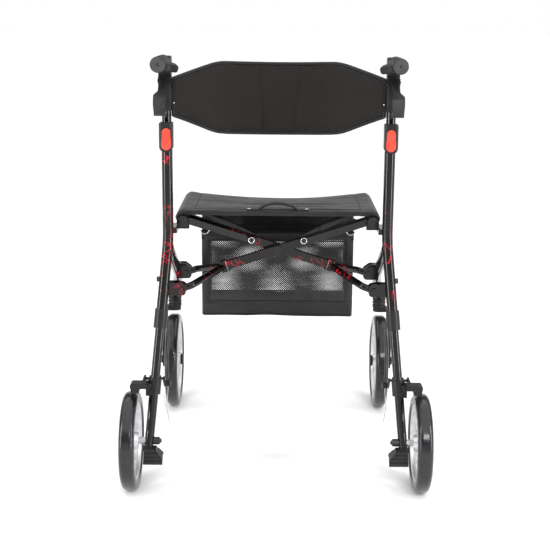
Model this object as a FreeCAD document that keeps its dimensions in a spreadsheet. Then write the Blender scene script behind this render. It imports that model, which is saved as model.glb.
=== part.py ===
"""Folding rollator walker: side frames, X-brace, casters, brakes, handles and soft parts.

Frame: +Z up, +Y the way the walker rolls, +X to the user's right. The origin is on the floor
at the centre of the walker's footprint. Millimetres.
"""
import FreeCAD, Part
import math
import os
import re
import Sketcher
from FreeCAD import Placement, Rotation, Vector

SIZES = [
    # wheels
    ("rear_wheel_radius", 101.5, "rear wheel, over the tyre"),
    ("front_wheel_radius", 114.5, "front caster wheel, over the tyre"),
    ("tyre_width", 31.0, "both tyres, across the tread"),
    ("tyre_depth", 22.0, "tread to rim, along the radius"),
    ("wheelbase", 530.0, "rear axle to front axle"),
    ("rear_half_track", 298.0, "centre line to the middle of a rear tyre"),
    ("front_half_track", 256.0, "centre line to the middle of a front tyre"),
    ("caster_trail", 30.0, "front axle behind its swivel stem"),
    ("axle_radius", 6.0, "rear axle, front axle and swivel stem"),
    ("running_gap", 0.05, "radial gap of an axle, pin or stem in its bore"),
    ("hub_radius", 19.0, "wheel hub"),
    ("hub_width", 30.0, "wheel hub, along the axle"),
    # side frames
    ("upright_half_gap", 226.0, "centre line to an upright's axis"),
    ("upright_setback", 92.0, "upright's axis in front of the rear axle"),
    ("upright_top", 742.0, "upper end of an upright"),
    ("knee_height", 505.0, "where the upright bends into the rear leg"),
    ("foot_half_gap", 261.5, "centre line to a rear leg's axis, at the axle"),
    ("tube_radius", 11.1, "frame tube, outside"),
    ("tube_wall", 1.5, "wall of every frame tube"),
    ("leg_radius", 9.5, "lower rear leg, outside"),
    ("leg_tail", 18.0, "rear leg below the axle"),
    ("lap_start", 142.0, "knee to the top of the leg collar, along the leg"),
    ("lap_length", 40.0, "leg collar, along the leg"),
    ("collar_wall", 2.6, "leg collar, outside the frame tube"),
    ("front_bend_setback", 330.0, "front leg's bend in front of the rear axle"),
    ("front_leg_start", 492.0, "height where the front leg leaves the upright"),
    ("caster_head_radius", 16.5, "swivel housing"),
    ("caster_head_height", 47.0, "swivel housing"),
    ("fork_gap", 7.0, "tyre to fork, all round"),
    ("fork_thickness", 6.0, "fork arm"),
    ("crown_thickness", 9.0, "fork crown"),
    # brace and seat
    ("rail_half_gap", 200.0, "centre line to a seat rail and to the pivots under it"),
    ("rail_radius", 12.0, "seat rail, outside"),
    ("rail_height", 537.0, "seat rail's axis above the floor"),
    ("rail_start", 138.0, "rear end of a seat rail in front of the rear axle"),
    ("rail_length", 265.0, "seat rail"),
    ("pivot_height", 405.0, "lower brace pivots above the floor"),
    ("pivot_rear", 82.0, "rear brace pivot in front of the rear axle"),
    ("pivot_front", 240.0, "front brace pivot in front of the rear axle"),
    ("pivot_pin_radius", 4.0, "brace pivot pins"),
    ("brace_height", 18.0, "cross bar section, upright side"),
    ("brace_width", 15.0, "cross bar section, along the walker"),
    ("brace_gap", 3.0, "washer gap between the two cross bars"),
    ("brace_setback", 185.0, "middle of the brace in front of the rear axle"),
    ("knuckle_reach", 116.0, "centre line to the knuckle where a bar forks"),
    ("fork_tube_radius", 7.5, "the two tubes of a bar's forked lower end"),
    ("support_reach", 54.0, "centre line to the bolt of a support arm"),
    ("seat_thickness", 12.0, "seat sling, padded"),
    ("soft_gap", 0.8, "soft parts to what they lie on"),
    ("hem_step", 1.0, "how far the seat's rear hem lies below its panel"),
    # handles
    ("handle_tube_radius", 9.5, "height adjusting tube, outside"),
    ("handle_travel", 100.0, "how far a handle rises"),
    ("hole_pitch", 25.0, "height holes, middle to middle"),
    ("grip_height", 867.0, "grip's axis above the floor"),
    ("grip_half_gap", 231.0, "centre line to a grip's axis"),
    ("grip_radius", 15.5, "hand grip"),
    ("grip_length", 101.5, "hand grip"),
    ("grip_overhang", 22.0, "grip's rear end behind the rear axle"),
    ("lever_travel", 18.0, "degrees a brake lever turns"),
    ("clamp_height", 58.0, "height clamp housing"),
    ("clamp_inner", 13.0, "upright's axis to the clamp's inner face"),
    ("clamp_outer", 15.0, "upright's axis to the clamp's outer face"),
    ("button_travel", 3.0, "height button, pressed"),
    # soft parts
    ("back_sweep", 120.0, "backrest's middle in front of its ends"),
    ("back_thickness", 11.0, "backrest padding"),
    ("back_top", 864.0, "backrest's upper edge"),
    ("back_height", 150.0, "backrest at its middle"),
    ("back_end_height", 74.0, "backrest at its ends"),
    ("bag_width", 336.0, "shopping bag, across"),
    ("bag_depth", 96.0, "shopping bag, front to back"),
    ("bag_height", 186.0, "shopping bag"),
    ("bag_top", 491.0, "shopping bag's rim above the floor"),
    ("bag_setback", 240.0, "shopping bag's rear wall in front of the rear axle"),
    ("bag_wall", 3.0, "shopping bag's wall"),
]

doc = FreeCAD.newDocument("rollator")
sheet = doc.addObject("Spreadsheet::Sheet", "Sizes")


class Values:
    """The driving dimensions by name, for placements and computed outlines."""


s = Values()
for row, (alias, value, note) in enumerate(SIZES, start=1):
    sheet.set(f"A{row}", note)
    sheet.set(f"B{row}", str(value))
    sheet.setAlias(f"B{row}", alias)
    setattr(s, alias, value)
doc.recompute()

REAR_AXLE_Y = -(s.wheelbase + s.front_wheel_radius - s.rear_wheel_radius) / 2
SIDES = {"left": -1, "right": 1}
X_AXIS = Vector(1, 0, 0)
Y_AXIS = Vector(0, 1, 0)
Z_AXIS = Vector(0, 0, 1)
nodes = []


# ---------------------------------------------------------------- helpers
def at(side, x, y, z):
    """A point: x out from the centre line, y in front of the rear axle, z above the floor."""
    return Vector(side * x, y + REAR_AXLE_Y, z)


def linked(formula):
    """A formula of named sizes as an expression on the sheet."""
    return re.sub(r"[a-z][a-z_]{2,}", lambda name: "Sizes." + name.group(), formula)


def bind(obj, **formulas):
    for prop, formula in formulas.items():
        obj.setExpression(prop, linked(formula))


def facing(base, direction):
    """A placement at base whose Z axis points along direction."""
    return Placement(base, Rotation(Z_AXIS, direction))


def cylinder(name, radius, height, base, direction=Z_AXIS):
    obj = doc.addObject("Part::Cylinder", name)
    bind(obj, Radius=radius, Height=height)
    obj.Placement = facing(base, direction)
    return obj


def block(name, length, width, height, centre, rotation=None):
    """A box about its centre."""
    obj = doc.addObject("Part::Box", name)
    bind(obj, Length=length, Width=width, Height=height)
    doc.recompute()
    turn = rotation or Rotation()
    half = Vector(obj.Length.Value / 2, obj.Width.Value / 2, obj.Height.Value / 2)
    obj.Placement = Placement(centre - turn.multVec(half), turn)
    return obj


def cut(name, base, *tools):
    for number, tool in enumerate(tools):
        step = doc.addObject("Part::Cut", f"{name}_cut{number}")
        step.Base = base
        step.Tool = tool
        base = step
    return base


def fuse(name, *shapes):
    obj = doc.addObject("Part::MultiFuse", name + "_fused")
    obj.Shapes = list(shapes)
    obj.Refine = False
    return obj


def round_edges(name, base, radius, chosen):
    """Fillet the edges of base that chosen picks."""
    doc.recompute()
    obj = doc.addObject("Part::Fillet", name + "_rounded")
    obj.Base = base
    picked = [i for i, edge in enumerate(base.Shape.Edges, start=1) if chosen(edge)]
    obj.Edges = [(i, radius, radius) for i in picked]
    return obj


def along(direction):
    """Pick straight edges that run along direction."""
    def chosen(edge):
        if not isinstance(edge.Curve, (Part.Line, Part.LineSegment)):
            return False
        return abs(abs(edge.tangentAt(edge.FirstParameter).dot(direction)) - 1) < 1e-6
    return chosen


def feature(name, shape):
    """A piece made directly with Part's functions, for shapes swept along a route in space."""
    obj = doc.addObject("Part::Feature", name)
    obj.Shape = shape
    return obj


def route(points, bend):
    """Straight runs joined by tangent arcs, as one wire."""
    edges = []
    last = points[0]
    for before, corner, after in zip(points, points[1:], points[2:]):
        back = (before - corner).normalize()
        ahead = (after - corner).normalize()
        half_angle = back.getAngle(ahead) / 2
        reach = bend / math.tan(half_angle)
        start = corner + back * reach
        end = corner + ahead * reach
        middle = (back + ahead).normalize()
        apex = corner + middle * (bend / math.sin(half_angle) - bend)
        edges.append(Part.LineSegment(last, start).toShape())
        edges.append(Part.Arc(start, apex, end).toShape())
        last = end
    edges.append(Part.LineSegment(last, points[-1]).toShape())
    return Part.Wire(edges)


def swept(points, bend, radius):
    wire = route(points, bend) if len(points) > 2 else Part.Wire(
        [Part.LineSegment(points[0], points[1]).toShape()])
    ring = Part.Wire([Part.makeCircle(radius, points[0], points[1] - points[0])])
    return wire.makePipeShell([ring], True, True)


def pipe(points, bend, radius, wall):
    """A bent tube, bored through with square ends."""
    return swept(points, bend, radius).cut(swept(points, bend, radius - wall))


def origin_plane(body, role):
    return next(f for f in body.Origin.OriginFeatures if f.Role == role)


def sketch_on(body, name, role, offset=None):
    sketch = body.newObject("Sketcher::SketchObject", name)
    sketch.AttachmentSupport = (origin_plane(body, role), [""])
    sketch.MapMode = "FlatFace"
    if offset is not None:
        sketch.AttachmentOffset = Placement(offset, Rotation())
    return sketch


def draw(sketch, outline):
    """A closed outline of (x, y) corners; a third value rounds the corner by that radius."""
    corners = [Vector(p[0], p[1], 0) for p in outline]
    count = len(corners)
    ends = []
    for i, corner in enumerate(corners):
        radius = outline[i][2] if len(outline[i]) > 2 else 0
        if not radius:
            ends.append((corner, None, corner))
            continue
        back = (corners[i - 1] - corner).normalize()
        ahead = (corners[(i + 1) % count] - corner).normalize()
        half_angle = back.getAngle(ahead) / 2
        reach = radius / math.tan(half_angle)
        middle = (back + ahead).normalize()
        apex = corner + middle * (radius / math.sin(half_angle) - radius)
        ends.append((corner + back * reach, apex, corner + ahead * reach))
    for i, (start, apex, end) in enumerate(ends):
        if apex is not None:
            sketch.addGeometry(Part.Arc(start, apex, end), False)
        following = ends[(i + 1) % count][0]
        if end.distanceToPoint(following) > 1e-6:
            sketch.addGeometry(Part.LineSegment(end, following), False)


def padded(name, role, outline, length, start=0.0, middle=False):
    """A body whose first feature is an outline padded from its origin plane."""
    body = doc.addObject("PartDesign::Body", name)
    sketch = sketch_on(body, name + "_outline", role, Vector(0, 0, start))
    draw(sketch, outline)
    pad = body.newObject("PartDesign::Pad", name + "_pad")
    pad.Profile = sketch
    bind(pad, Length=length)
    pad.Midplane = middle
    return body


def node(label, obj, placement=None):
    """Name a finished sub-part and keep it for the export."""
    if placement is not None:
        obj.Placement = placement
    obj.Label = label
    nodes.append(obj)
    return obj


def group(label, *pieces):
    """Separate solids that share one node."""
    obj = doc.addObject("Part::Compound", label + "_group")
    obj.Links = list(pieces)
    return node(label, obj)


# ---------------------------------------------------------------- side frames
def knee(side):
    return at(side, s.upright_half_gap, s.upright_setback, s.knee_height)


def leg_way(side):
    """Unit vector down the rear leg, from the knee to the axle."""
    axle = at(side, s.foot_half_gap, 0, s.rear_wheel_radius)
    return (axle - knee(side)).normalize()


def leg_length(side):
    axle = at(side, s.foot_half_gap, 0, s.rear_wheel_radius)
    return (axle - knee(side)).Length


KNEE_BEND = 220.0
FRONT_BEND = 260.0
LAP_INSIDE = 22.0


def side_tube_route(side):
    top = at(side, s.upright_half_gap, s.upright_setback, s.upright_top)
    end = knee(side) + leg_way(side) * (s.lap_start + s.lap_length / 2)
    return [top, knee(side), end]


def caster_head_base(side):
    swivel = s.wheelbase + s.caster_trail
    crown_top = 2 * s.front_wheel_radius + s.fork_gap + s.crown_thickness
    return at(side, s.front_half_track, swivel, crown_top + 2)


def front_leg_route(side):
    start = at(side, s.upright_half_gap, s.upright_setback, s.front_leg_start)
    end = caster_head_base(side) + Vector(0, 0, s.caster_head_height / 2)
    share = (s.front_bend_setback - s.upright_setback) / (s.wheelbase + s.caster_trail - s.upright_setback)
    height = s.front_leg_start + (end.z - s.front_leg_start) * share
    return [start, at(side, s.upright_half_gap, s.front_bend_setback, height), end]


def side_tube(name, side):
    shape = pipe(side_tube_route(side), KNEE_BEND, s.tube_radius, s.tube_wall)
    pin_hole = Part.makeCylinder(BUTTON_PIN_RADIUS + 0.5, s.tube_radius + 2,
                                 at(side, s.upright_half_gap, s.upright_setback, pin_height()), -Y_AXIS)
    node(f"side_tube_{name}", feature(f"side_tube_{name}_shape", shape.cut(pin_hole)))


def front_leg(name, side):
    shape = pipe(front_leg_route(side), FRONT_BEND, s.tube_radius, s.tube_wall)
    upright = swept(side_tube_route(side), KNEE_BEND, s.tube_radius)
    head = Part.makeCylinder(s.caster_head_radius, 2 * s.caster_head_height,
                             caster_head_base(side) - Vector(0, 0, s.caster_head_height / 2))
    shape = shape.cut(upright).cut(head)
    node(f"front_leg_{name}", feature(f"front_leg_{name}_shape", max(shape.Solids, key=lambda k: k.Volume)))


def rear_leg(name, side):
    """Lower leg: it laps into the frame tube, carries the axle and ends in the tipping pedal."""
    way = leg_way(side)
    start = knee(side) + way * (s.lap_start + s.lap_length / 2 - LAP_INSIDE)
    end = knee(side) + way * (leg_length(side) + s.leg_tail)
    shape = pipe([start, end], 0, s.leg_radius, s.tube_wall)
    axle_hole = Part.makeCylinder(s.axle_radius, 60, at(side, s.foot_half_gap - 30, 0, s.rear_wheel_radius),
                                  X_AXIS * side)
    node(f"rear_leg_{name}", feature(f"rear_leg_{name}_shape", shape.cut(axle_hole)))


def leg_collar(name, side):
    """Plastic sleeve where the lower leg enters the frame tube."""
    start = knee(side) + leg_way(side) * s.lap_start
    outer = cylinder(f"collar_{name}", "tube_radius + collar_wall", "lap_length", start, leg_way(side))
    wide = cylinder(f"collar_wide_{name}", "tube_radius", "lap_length / 2", start, leg_way(side))
    narrow = cylinder(f"collar_narrow_{name}", "leg_radius", "lap_length", start, leg_way(side))
    node(f"leg_collar_{name}", cut(f"collar_{name}", outer, wide, narrow))


def caster_head(name, side):
    """Ribbed swivel housing with a blind bore for the fork's stem."""
    body = doc.addObject("PartDesign::Body", f"caster_head_{name}_body")
    sketch = sketch_on(body, f"caster_head_{name}_profile", "XZ_Plane")
    bore = s.axle_radius + s.running_gap
    top = s.caster_head_height
    groove_pitch = 9.0
    outline = [(0, top - 6), (bore, top - 6), (bore, 0), (s.caster_head_radius, 0)]
    for number in range(4):
        low = 5.0 + number * groove_pitch
        outline += [(s.caster_head_radius, low), (s.caster_head_radius - 1.6, low + 1.2),
                    (s.caster_head_radius - 1.6, low + 2.8), (s.caster_head_radius, low + 4.0)]
    outline += [(s.caster_head_radius, top - 3), (s.caster_head_radius - 4, top), (0, top)]
    draw(sketch, outline)
    turn = body.newObject("PartDesign::Revolution", f"caster_head_{name}_turned")
    turn.Profile = sketch
    turn.ReferenceAxis = (sketch, ["V_Axis"])
    turn.Angle = 360
    node(f"caster_head_{name}", body, Placement(caster_head_base(side), Rotation()))


def pivot_bracket(name, side, setback, tube, reach, top):
    """Two cheeks and a web that hold a brace pivot's pin beside a frame tube."""
    cheek_gap = 2 * s.fork_tube_radius + 1.0
    cheek = 4.0
    low = s.pivot_height - 12
    cheeks = []
    for number, way in enumerate((-1, 1)):
        centre = s.rail_half_gap - 11
        outline = [(side * centre, low, 8), (side * (s.rail_half_gap + reach), low),
                   (side * (s.rail_half_gap + reach), top), (side * (centre + 14), top, 6),
                   (side * centre, s.pivot_height + 12, 8)]
        middle = setback + REAR_AXLE_Y + way * (cheek_gap + cheek) / 2
        plate = padded(f"{name}_cheek{number}", "XZ_Plane", outline, str(cheek), -middle, True)
        cheeks.append(plate)
    web_width = cheek_gap + 2 * cheek
    web = block(f"{name}_web", str(reach - 13), str(web_width), str(top - low),
                at(side, s.rail_half_gap + (reach + 13) / 2, setback, (top + low) / 2))
    tube_core = feature(f"{name}_core", tube)
    pin_bore = cylinder(f"{name}_bore", "pivot_pin_radius", str(web_width + 8),
                        at(side, s.rail_half_gap, setback - web_width / 2 - 4, s.pivot_height), Y_AXIS)
    plates = cut(f"{name}_plates", fuse(name, *cheeks, web), tube_core, pin_bore)
    shank = cylinder(f"{name}_shank", "pivot_pin_radius", str(web_width + 3),
                     at(side, s.rail_half_gap, setback - web_width / 2 - 1.5, s.pivot_height), Y_AXIS)
    head = cylinder(f"{name}_head", "pivot_pin_radius + 2.5", "3.5",
                    at(side, s.rail_half_gap, setback - web_width / 2 - 3.5, s.pivot_height), Y_AXIS)
    nut = cylinder(f"{name}_nut", "pivot_pin_radius + 2.5", "3.5",
                   at(side, s.rail_half_gap, setback + web_width / 2, s.pivot_height), Y_AXIS)
    return [plates, fuse(f"{name}_pin", shank, head, nut)]


def rail_saddle(name, side):
    """Cradle under the rear end of a seat rail, on an arm from the upright."""
    depth = 14.0
    base = s.rail_height - s.rail_radius - 5
    seat = block(f"{name}_cradle", "2 * rail_radius + 2", str(depth), "rail_radius + 2",
                 at(side, s.rail_half_gap, s.rail_start + 6 + depth / 2, base + (s.rail_radius + 2) / 2))
    arm = block(f"{name}_arm", "16", str(s.rail_start + 10 - s.upright_setback), "12",
                at(side, s.upright_half_gap - 10, (s.rail_start + 10 + s.upright_setback) / 2, base + 6))
    rail = cylinder(f"{name}_rail", "rail_radius + 0.4", "rail_length",
                    at(side, s.rail_half_gap, s.rail_start - 4, s.rail_height), Y_AXIS)
    upright = feature(f"{name}_upright", swept(side_tube_route(side), KNEE_BEND, s.tube_radius))
    return cut(name, fuse(name, seat, arm), rail, upright)


def frame_brackets(name, side):
    leg = swept(side_tube_route(side), KNEE_BEND, s.tube_radius)
    strut = swept(front_leg_route(side), FRONT_BEND, s.tube_radius)
    pieces = pivot_bracket(f"rear_pivot_{name}", side, s.pivot_rear, leg, 30.0, s.pivot_height + 15)
    pieces += pivot_bracket(f"front_pivot_{name}", side, s.pivot_front, strut, 22.0, s.pivot_height + 22)
    pieces.append(rail_saddle(f"saddle_{name}", side))
    group(f"frame_brackets_{name}", *pieces)


# ---------------------------------------------------------------- handles
BUTTON_PIN_RADIUS = 3.0
BUTTON_WIDTH = 17.2
BUTTON_HEIGHT = 44.0
BUTTON_PAD_RADIUS = 9.8
BUTTON_DEPTH = 5.0
CLAMP_REAR = 17.0
CLAMP_FRONT = 15.0
RECESS = 5.0
CABLE_WINDOW = 6.0


def clamp_bottom():
    return s.upright_top + 6 - s.clamp_height


def pin_height():
    return clamp_bottom() + s.clamp_height - 22


def keyhole(side, grow=0.0):
    """The button's outline: a pill above a wider round pad."""
    x = side * s.upright_half_gap
    half = BUTTON_WIDTH / 2 + grow
    pad = BUTTON_PAD_RADIUS + grow
    low = clamp_bottom() + 3.5 - grow
    top = low + BUTTON_HEIGHT + 2 * grow
    return [(x - pad, low, pad - 0.1), (x + pad, low, pad - 0.1), (x + pad, low + 1.7 * pad, 3),
            (x + half, low + 2.5 * pad, 4), (x + half, top, half - 0.1), (x - half, top, half - 0.1),
            (x - half, low + 2.5 * pad, 4), (x - pad, low + 1.7 * pad, 3)]


def height_clamp(name, side):
    """Housing round the top of the upright, with a recess for the height button."""
    x = side * s.upright_half_gap
    inner = x - side * s.clamp_inner
    outer = x + side * s.clamp_outer
    y = s.upright_setback + REAR_AXLE_Y
    outline = [(inner, y - CLAMP_REAR, 6), (outer, y - CLAMP_REAR, 6),
               (outer, y + CLAMP_FRONT, 9), (inner, y + CLAMP_FRONT, 9)]
    body = padded(f"height_clamp_{name}_body", "XY_Plane", outline, "clamp_height", clamp_bottom())
    recess = sketch_on(body, f"button_recess_{name}", "XZ_Plane", Vector(0, 0, CLAMP_REAR - y))
    draw(recess, keyhole(side, 0.4))
    doc.recompute()
    pocket = body.newObject("PartDesign::Pocket", f"button_recess_{name}_cut")
    pocket.Profile = recess
    pocket.Length = RECESS
    doc.recompute()
    axis = at(side, s.upright_half_gap, s.upright_setback, 0)
    lower = cylinder(f"clamp_lower_{name}", "tube_radius", "upright_top", axis)
    upper = cylinder(f"clamp_upper_{name}", "tube_radius - tube_wall", "upright_top + clamp_height", axis)
    hole = cylinder(f"clamp_pin_{name}", str(BUTTON_PIN_RADIUS + 0.2), "clamp_outer",
                    at(side, s.upright_half_gap, s.upright_setback - s.tube_radius + 1, pin_height()), -Y_AXIS)
    low = clamp_bottom()
    rounded = padded(f"clamp_front_{name}", "XZ_Plane",
                     [(inner, low, 11), (outer, low, 11), (outer, low + s.clamp_height, 3),
                      (inner, low + s.clamp_height, 3)], "90", -y, True)
    both = doc.addObject("Part::Common", f"clamp_common_{name}")
    both.Base = body
    both.Tool = rounded
    node(f"height_clamp_{name}", cut(f"clamp_{name}", both, lower, upper, hole))


def height_button(name, side):
    """Push button; its pin runs in the height tube's slot and holes."""
    y = s.upright_setback + REAR_AXLE_Y - CLAMP_REAR - 3.5
    plate = padded(f"button_{name}", "XZ_Plane", keyhole(side), str(BUTTON_DEPTH), -y - BUTTON_DEPTH)
    pin = cylinder(f"button_pin_{name}", str(BUTTON_PIN_RADIUS), "9.5",
                   at(side, s.upright_half_gap, s.upright_setback - CLAMP_REAR - 0.5, pin_height()), Y_AXIS)
    node(f"height_button_{name}", fuse(f"button_{name}", plate, pin))


def column_bottom():
    return s.grip_height - 95


def handle_tube(name, side):
    """Inner tube with a slot and height holes for the button's pin."""
    low = s.knee_height + 55
    top = column_bottom() + 44
    x, y = s.upright_half_gap, s.upright_setback
    shape = pipe([at(side, x, y, low), at(side, x, y, top)], 0, s.handle_tube_radius, s.tube_wall)
    width = 2 * BUTTON_PIN_RADIUS + 1
    slot = Part.makeBox(width, s.handle_tube_radius + 1, s.handle_travel,
                        at(side, x, y, pin_height() - s.handle_travel)
                        - Vector(width / 2, s.handle_tube_radius + 1, 0))
    shape = shape.cut(slot)
    for number in range(int(s.handle_travel // s.hole_pitch) + 1):
        middle = at(side, x, y, pin_height() - number * s.hole_pitch)
        shape = shape.cut(Part.makeCylinder(BUTTON_PIN_RADIUS + 1.5, s.handle_tube_radius + 1, middle, -Y_AXIS))
    corner = at(side, x, y, column_bottom() - 22) - Vector(CABLE_WINDOW / 2, s.handle_tube_radius, 0)
    window = Part.makeBox(CABLE_WINDOW, s.handle_tube_radius, 17, corner)
    node(f"handle_tube_{name}", feature(f"handle_tube_{name}_shape", shape.cut(window)))


LEVER_PIVOT_SETBACK = 66.0
COLUMN_MIDDLE = 2.0


def lever_pivot(side):
    return at(side, s.upright_half_gap + COLUMN_MIDDLE, LEVER_PIVOT_SETBACK, s.grip_height - 35)


def handle_body(name, side):
    """Moulded column on the height tube, with the lever's ears and the grip's core."""
    y = REAR_AXLE_Y + s.upright_setback
    low = column_bottom()
    top = s.grip_height + 13
    profile = [(y - 16, low, 3), (y + 15, low, 3), (y + 17, s.grip_height - 30), (y + 20, s.grip_height, 10),
               (y + 14, top, 8), (y - 12, top, 6), (y - 12, s.grip_height - 22), (y - 16, s.grip_height - 40)]
    width = 25.0
    middle = side * (s.upright_half_gap + COLUMN_MIDDLE)
    column = padded(f"column_{name}", "YZ_Plane", profile, str(width), middle, True)
    doc.recompute()
    column = round_edges(f"column_{name}", column, 2.5, along(Z_AXIS))
    pieces = [column]
    pivot = lever_pivot(side)
    for number, way in enumerate((-1, 1)):
        ear = block(f"ear{number}_{name}", "3", "26", "15", pivot + Vector(way * 10, 8, 0))
        pieces.append(ear)
    core = cylinder(f"grip_core_{name}", "grip_radius - 6", "upright_setback + grip_overhang - 4",
                    at(side, s.grip_half_gap, s.upright_setback, s.grip_height), -Y_AXIS)
    pieces.append(core)
    pin = cylinder(f"lever_pin_{name}", "3", "25.4", pivot - Vector(12.7, 0, 0), X_AXIS)
    pieces.append(pin)
    lug = block(f"back_lug_{name}", "11", "5", "64", at(side, s.upright_half_gap - 13.5, 90.3, s.grip_height - 63))
    pieces.append(lug)
    bore = cylinder(f"column_bore_{name}", "handle_tube_radius", "44",
                    at(side, s.upright_half_gap, s.upright_setback, low))
    node(f"handle_body_{name}", cut(f"handle_body_{name}", fuse(f"handle_body_{name}", *pieces), bore))


def grip(name, side):
    """Soft hand grip with a palm rest towards the inside, and its end cap."""
    cap = 4.0
    rear = -s.grip_overhang
    start = at(side, s.grip_half_gap, rear + cap, s.grip_height)
    sleeve = cylinder(f"grip_sleeve_{name}", "grip_radius", f"grip_length - {cap}", start, Y_AXIS)
    x, y, z = start.x, start.y, s.grip_height
    wing_outline = [(x, y + 4), (x - side * 22, y + 2, 12), (x - side * 38, y + 34, 18),
                    (x - side * 30, y + 74, 14), (x, y + 86)]
    wing = padded(f"palm_rest_{name}", "XY_Plane", wing_outline, "15", z - 8)
    doc.recompute()
    wing = round_edges(f"palm_rest_{name}", wing, 5.5,
                       lambda edge: abs(edge.CenterOfMass.z - z + 8) < 0.1 or abs(edge.CenterOfMass.z - z - 7) < 0.1)
    tilt = Rotation(Y_AXIS, -side * 16)
    wing.Placement = Placement(start - tilt.multVec(start), tilt)
    core = cylinder(f"grip_bore_{name}", "grip_radius - 6", "grip_length + 40", start - Y_AXIS * 20, Y_AXIS)
    node(f"grip_{name}", cut(f"grip_{name}", fuse(f"grip_{name}", sleeve, wing), core))
    disc = cylinder(f"grip_disc_{name}", "grip_radius - 1", str(cap), at(side, s.grip_half_gap, rear, s.grip_height),
                    Y_AXIS)
    boss = cylinder(f"grip_dimple_{name}", "3", "1", at(side, s.grip_half_gap, rear - 0.01, s.grip_height), Y_AXIS)
    node(f"grip_cap_{name}", cut(f"grip_cap_{name}", disc, boss))


def brake_lever(name, side):
    """Lever under the grip; its end widens and hangs down as a paddle."""
    pivot = lever_pivot(side)
    y, z = pivot.y, pivot.z
    profile = [(y + 7, z - 7, 6), (y + 7, z + 7, 6), (y - 8, z + 8, 5), (y - 52, z - 10, 14), (y - 70, z - 30, 10),
               (y - 75, z - 62, 3), (y - 69, z - 64, 3), (y - 62, z - 34, 9), (y - 46, z - 21, 12), (y - 6, z - 7, 5)]
    middle = side * (s.upright_half_gap + COLUMN_MIDDLE)
    blade = padded(f"lever_blade_{name}", "YZ_Plane", profile, "30", middle, True)
    under = side * s.grip_half_gap
    taper = [(under - 9.5, z - 70), (under + 9.5, z - 70), (under + 12.8, z - 31, 2), (under + 12.8, z - 24, 4),
             (middle + 6.5, z - 16, 4), (middle + 7.5, z + 12), (middle - 7.5, z + 12), (middle - 6.5, z - 16, 4),
             (under - 12.8, z - 24, 4), (under - 12.8, z - 31, 2)]
    front = padded(f"lever_taper_{name}", "XZ_Plane", taper, "200", -y + 40, True)
    both = doc.addObject("Part::Common", f"lever_common_{name}")
    both.Base = blade
    both.Tool = front
    bore = cylinder(f"lever_bore_{name}", "3 + running_gap", "40", pivot - Vector(20, 0, 0), X_AXIS)
    node(f"brake_lever_{name}", cut(f"lever_{name}", both, bore))


def upper_cable(name, side):
    """Brake cable from the handle column into the height tube."""
    out = s.handle_tube_radius + 3.2
    x, y = s.upright_half_gap, s.upright_setback
    points = [at(side, x, y - out, column_bottom()),
              at(side, x, y - out, column_bottom() - 6),
              at(side, x, y - s.handle_tube_radius + 5, column_bottom() - 20)]
    node(f"upper_cable_{name}", feature(f"upper_cable_{name}_shape", swept(points, 6.0, 2.4)))


# ---------------------------------------------------------------- rear wheels and brakes
def tyre(label, side, x, y, radius):
    body = doc.addObject("PartDesign::Body", label + "_body")
    sketch = sketch_on(body, label + "_profile", "XZ_Plane")
    half = s.tyre_width / 2
    inner = radius - s.tyre_depth
    draw(sketch, [(-half + 3.5, inner), (half - 3.5, inner), (half, inner + 5, 4), (half, radius, 10),
                  (-half, radius, 10), (-half, inner + 5, 4)])
    turn = body.newObject("PartDesign::Revolution", label + "_turned")
    turn.Profile = sketch
    turn.ReferenceAxis = (sketch, ["H_Axis"])
    turn.Angle = 360
    node(label, body, Placement(at(side, x, y, radius), Rotation()))


SPOKES = 6


def rim(label, side, x, y, radius):
    """Moulded wheel: rim ring, hub and a web whose windows leave the spokes."""
    body = doc.addObject("PartDesign::Body", label + "_body")
    sketch = sketch_on(body, label + "_profile", "XZ_Plane")
    outer = radius - s.tyre_depth
    ring = outer - 7
    half = s.tyre_width / 2 - 3.5
    hub = s.hub_width / 2
    web = 4.5
    bore = s.axle_radius + s.running_gap
    draw(sketch, [(-hub, bore), (hub, bore), (hub, s.hub_radius - 3), (web, s.hub_radius, 3), (web, ring, 3),
                  (half - 1, ring + 3), (half, outer), (-half, outer), (-half + 1, ring + 3), (-web, ring, 3),
                  (-web, s.hub_radius, 3), (-hub, s.hub_radius - 3)])
    turn = body.newObject("PartDesign::Revolution", label + "_turned")
    turn.Profile = sketch
    turn.ReferenceAxis = (sketch, ["H_Axis"])
    turn.Angle = 360
    doc.recompute()
    window = sketch_on(body, label + "_window", "YZ_Plane")
    low = s.hub_radius + 6
    high = ring - 4
    spread = math.pi / SPOKES
    low_half = low * math.sin(spread) - 5
    high_half = high * math.sin(spread) - 6
    draw(window, [(-low_half, low, 2), (low_half, low, 2), (high_half, high * math.cos(spread), 5),
                  (0, high + 1, 30), (-high_half, high * math.cos(spread), 5)])
    pocket = body.newObject("PartDesign::Pocket", label + "_window_cut")
    pocket.Profile = window
    pocket.Midplane = True
    pocket.Length = 2 * s.tyre_width
    pattern = body.newObject("PartDesign::PolarPattern", label + "_windows")
    pattern.Originals = [pocket]
    pattern.Axis = (window, ["N_Axis"])
    pattern.Angle = 360
    pattern.Occurrences = SPOKES
    body.Tip = pattern
    node(label, body, Placement(at(side, x, y, radius), Rotation()))


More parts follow.
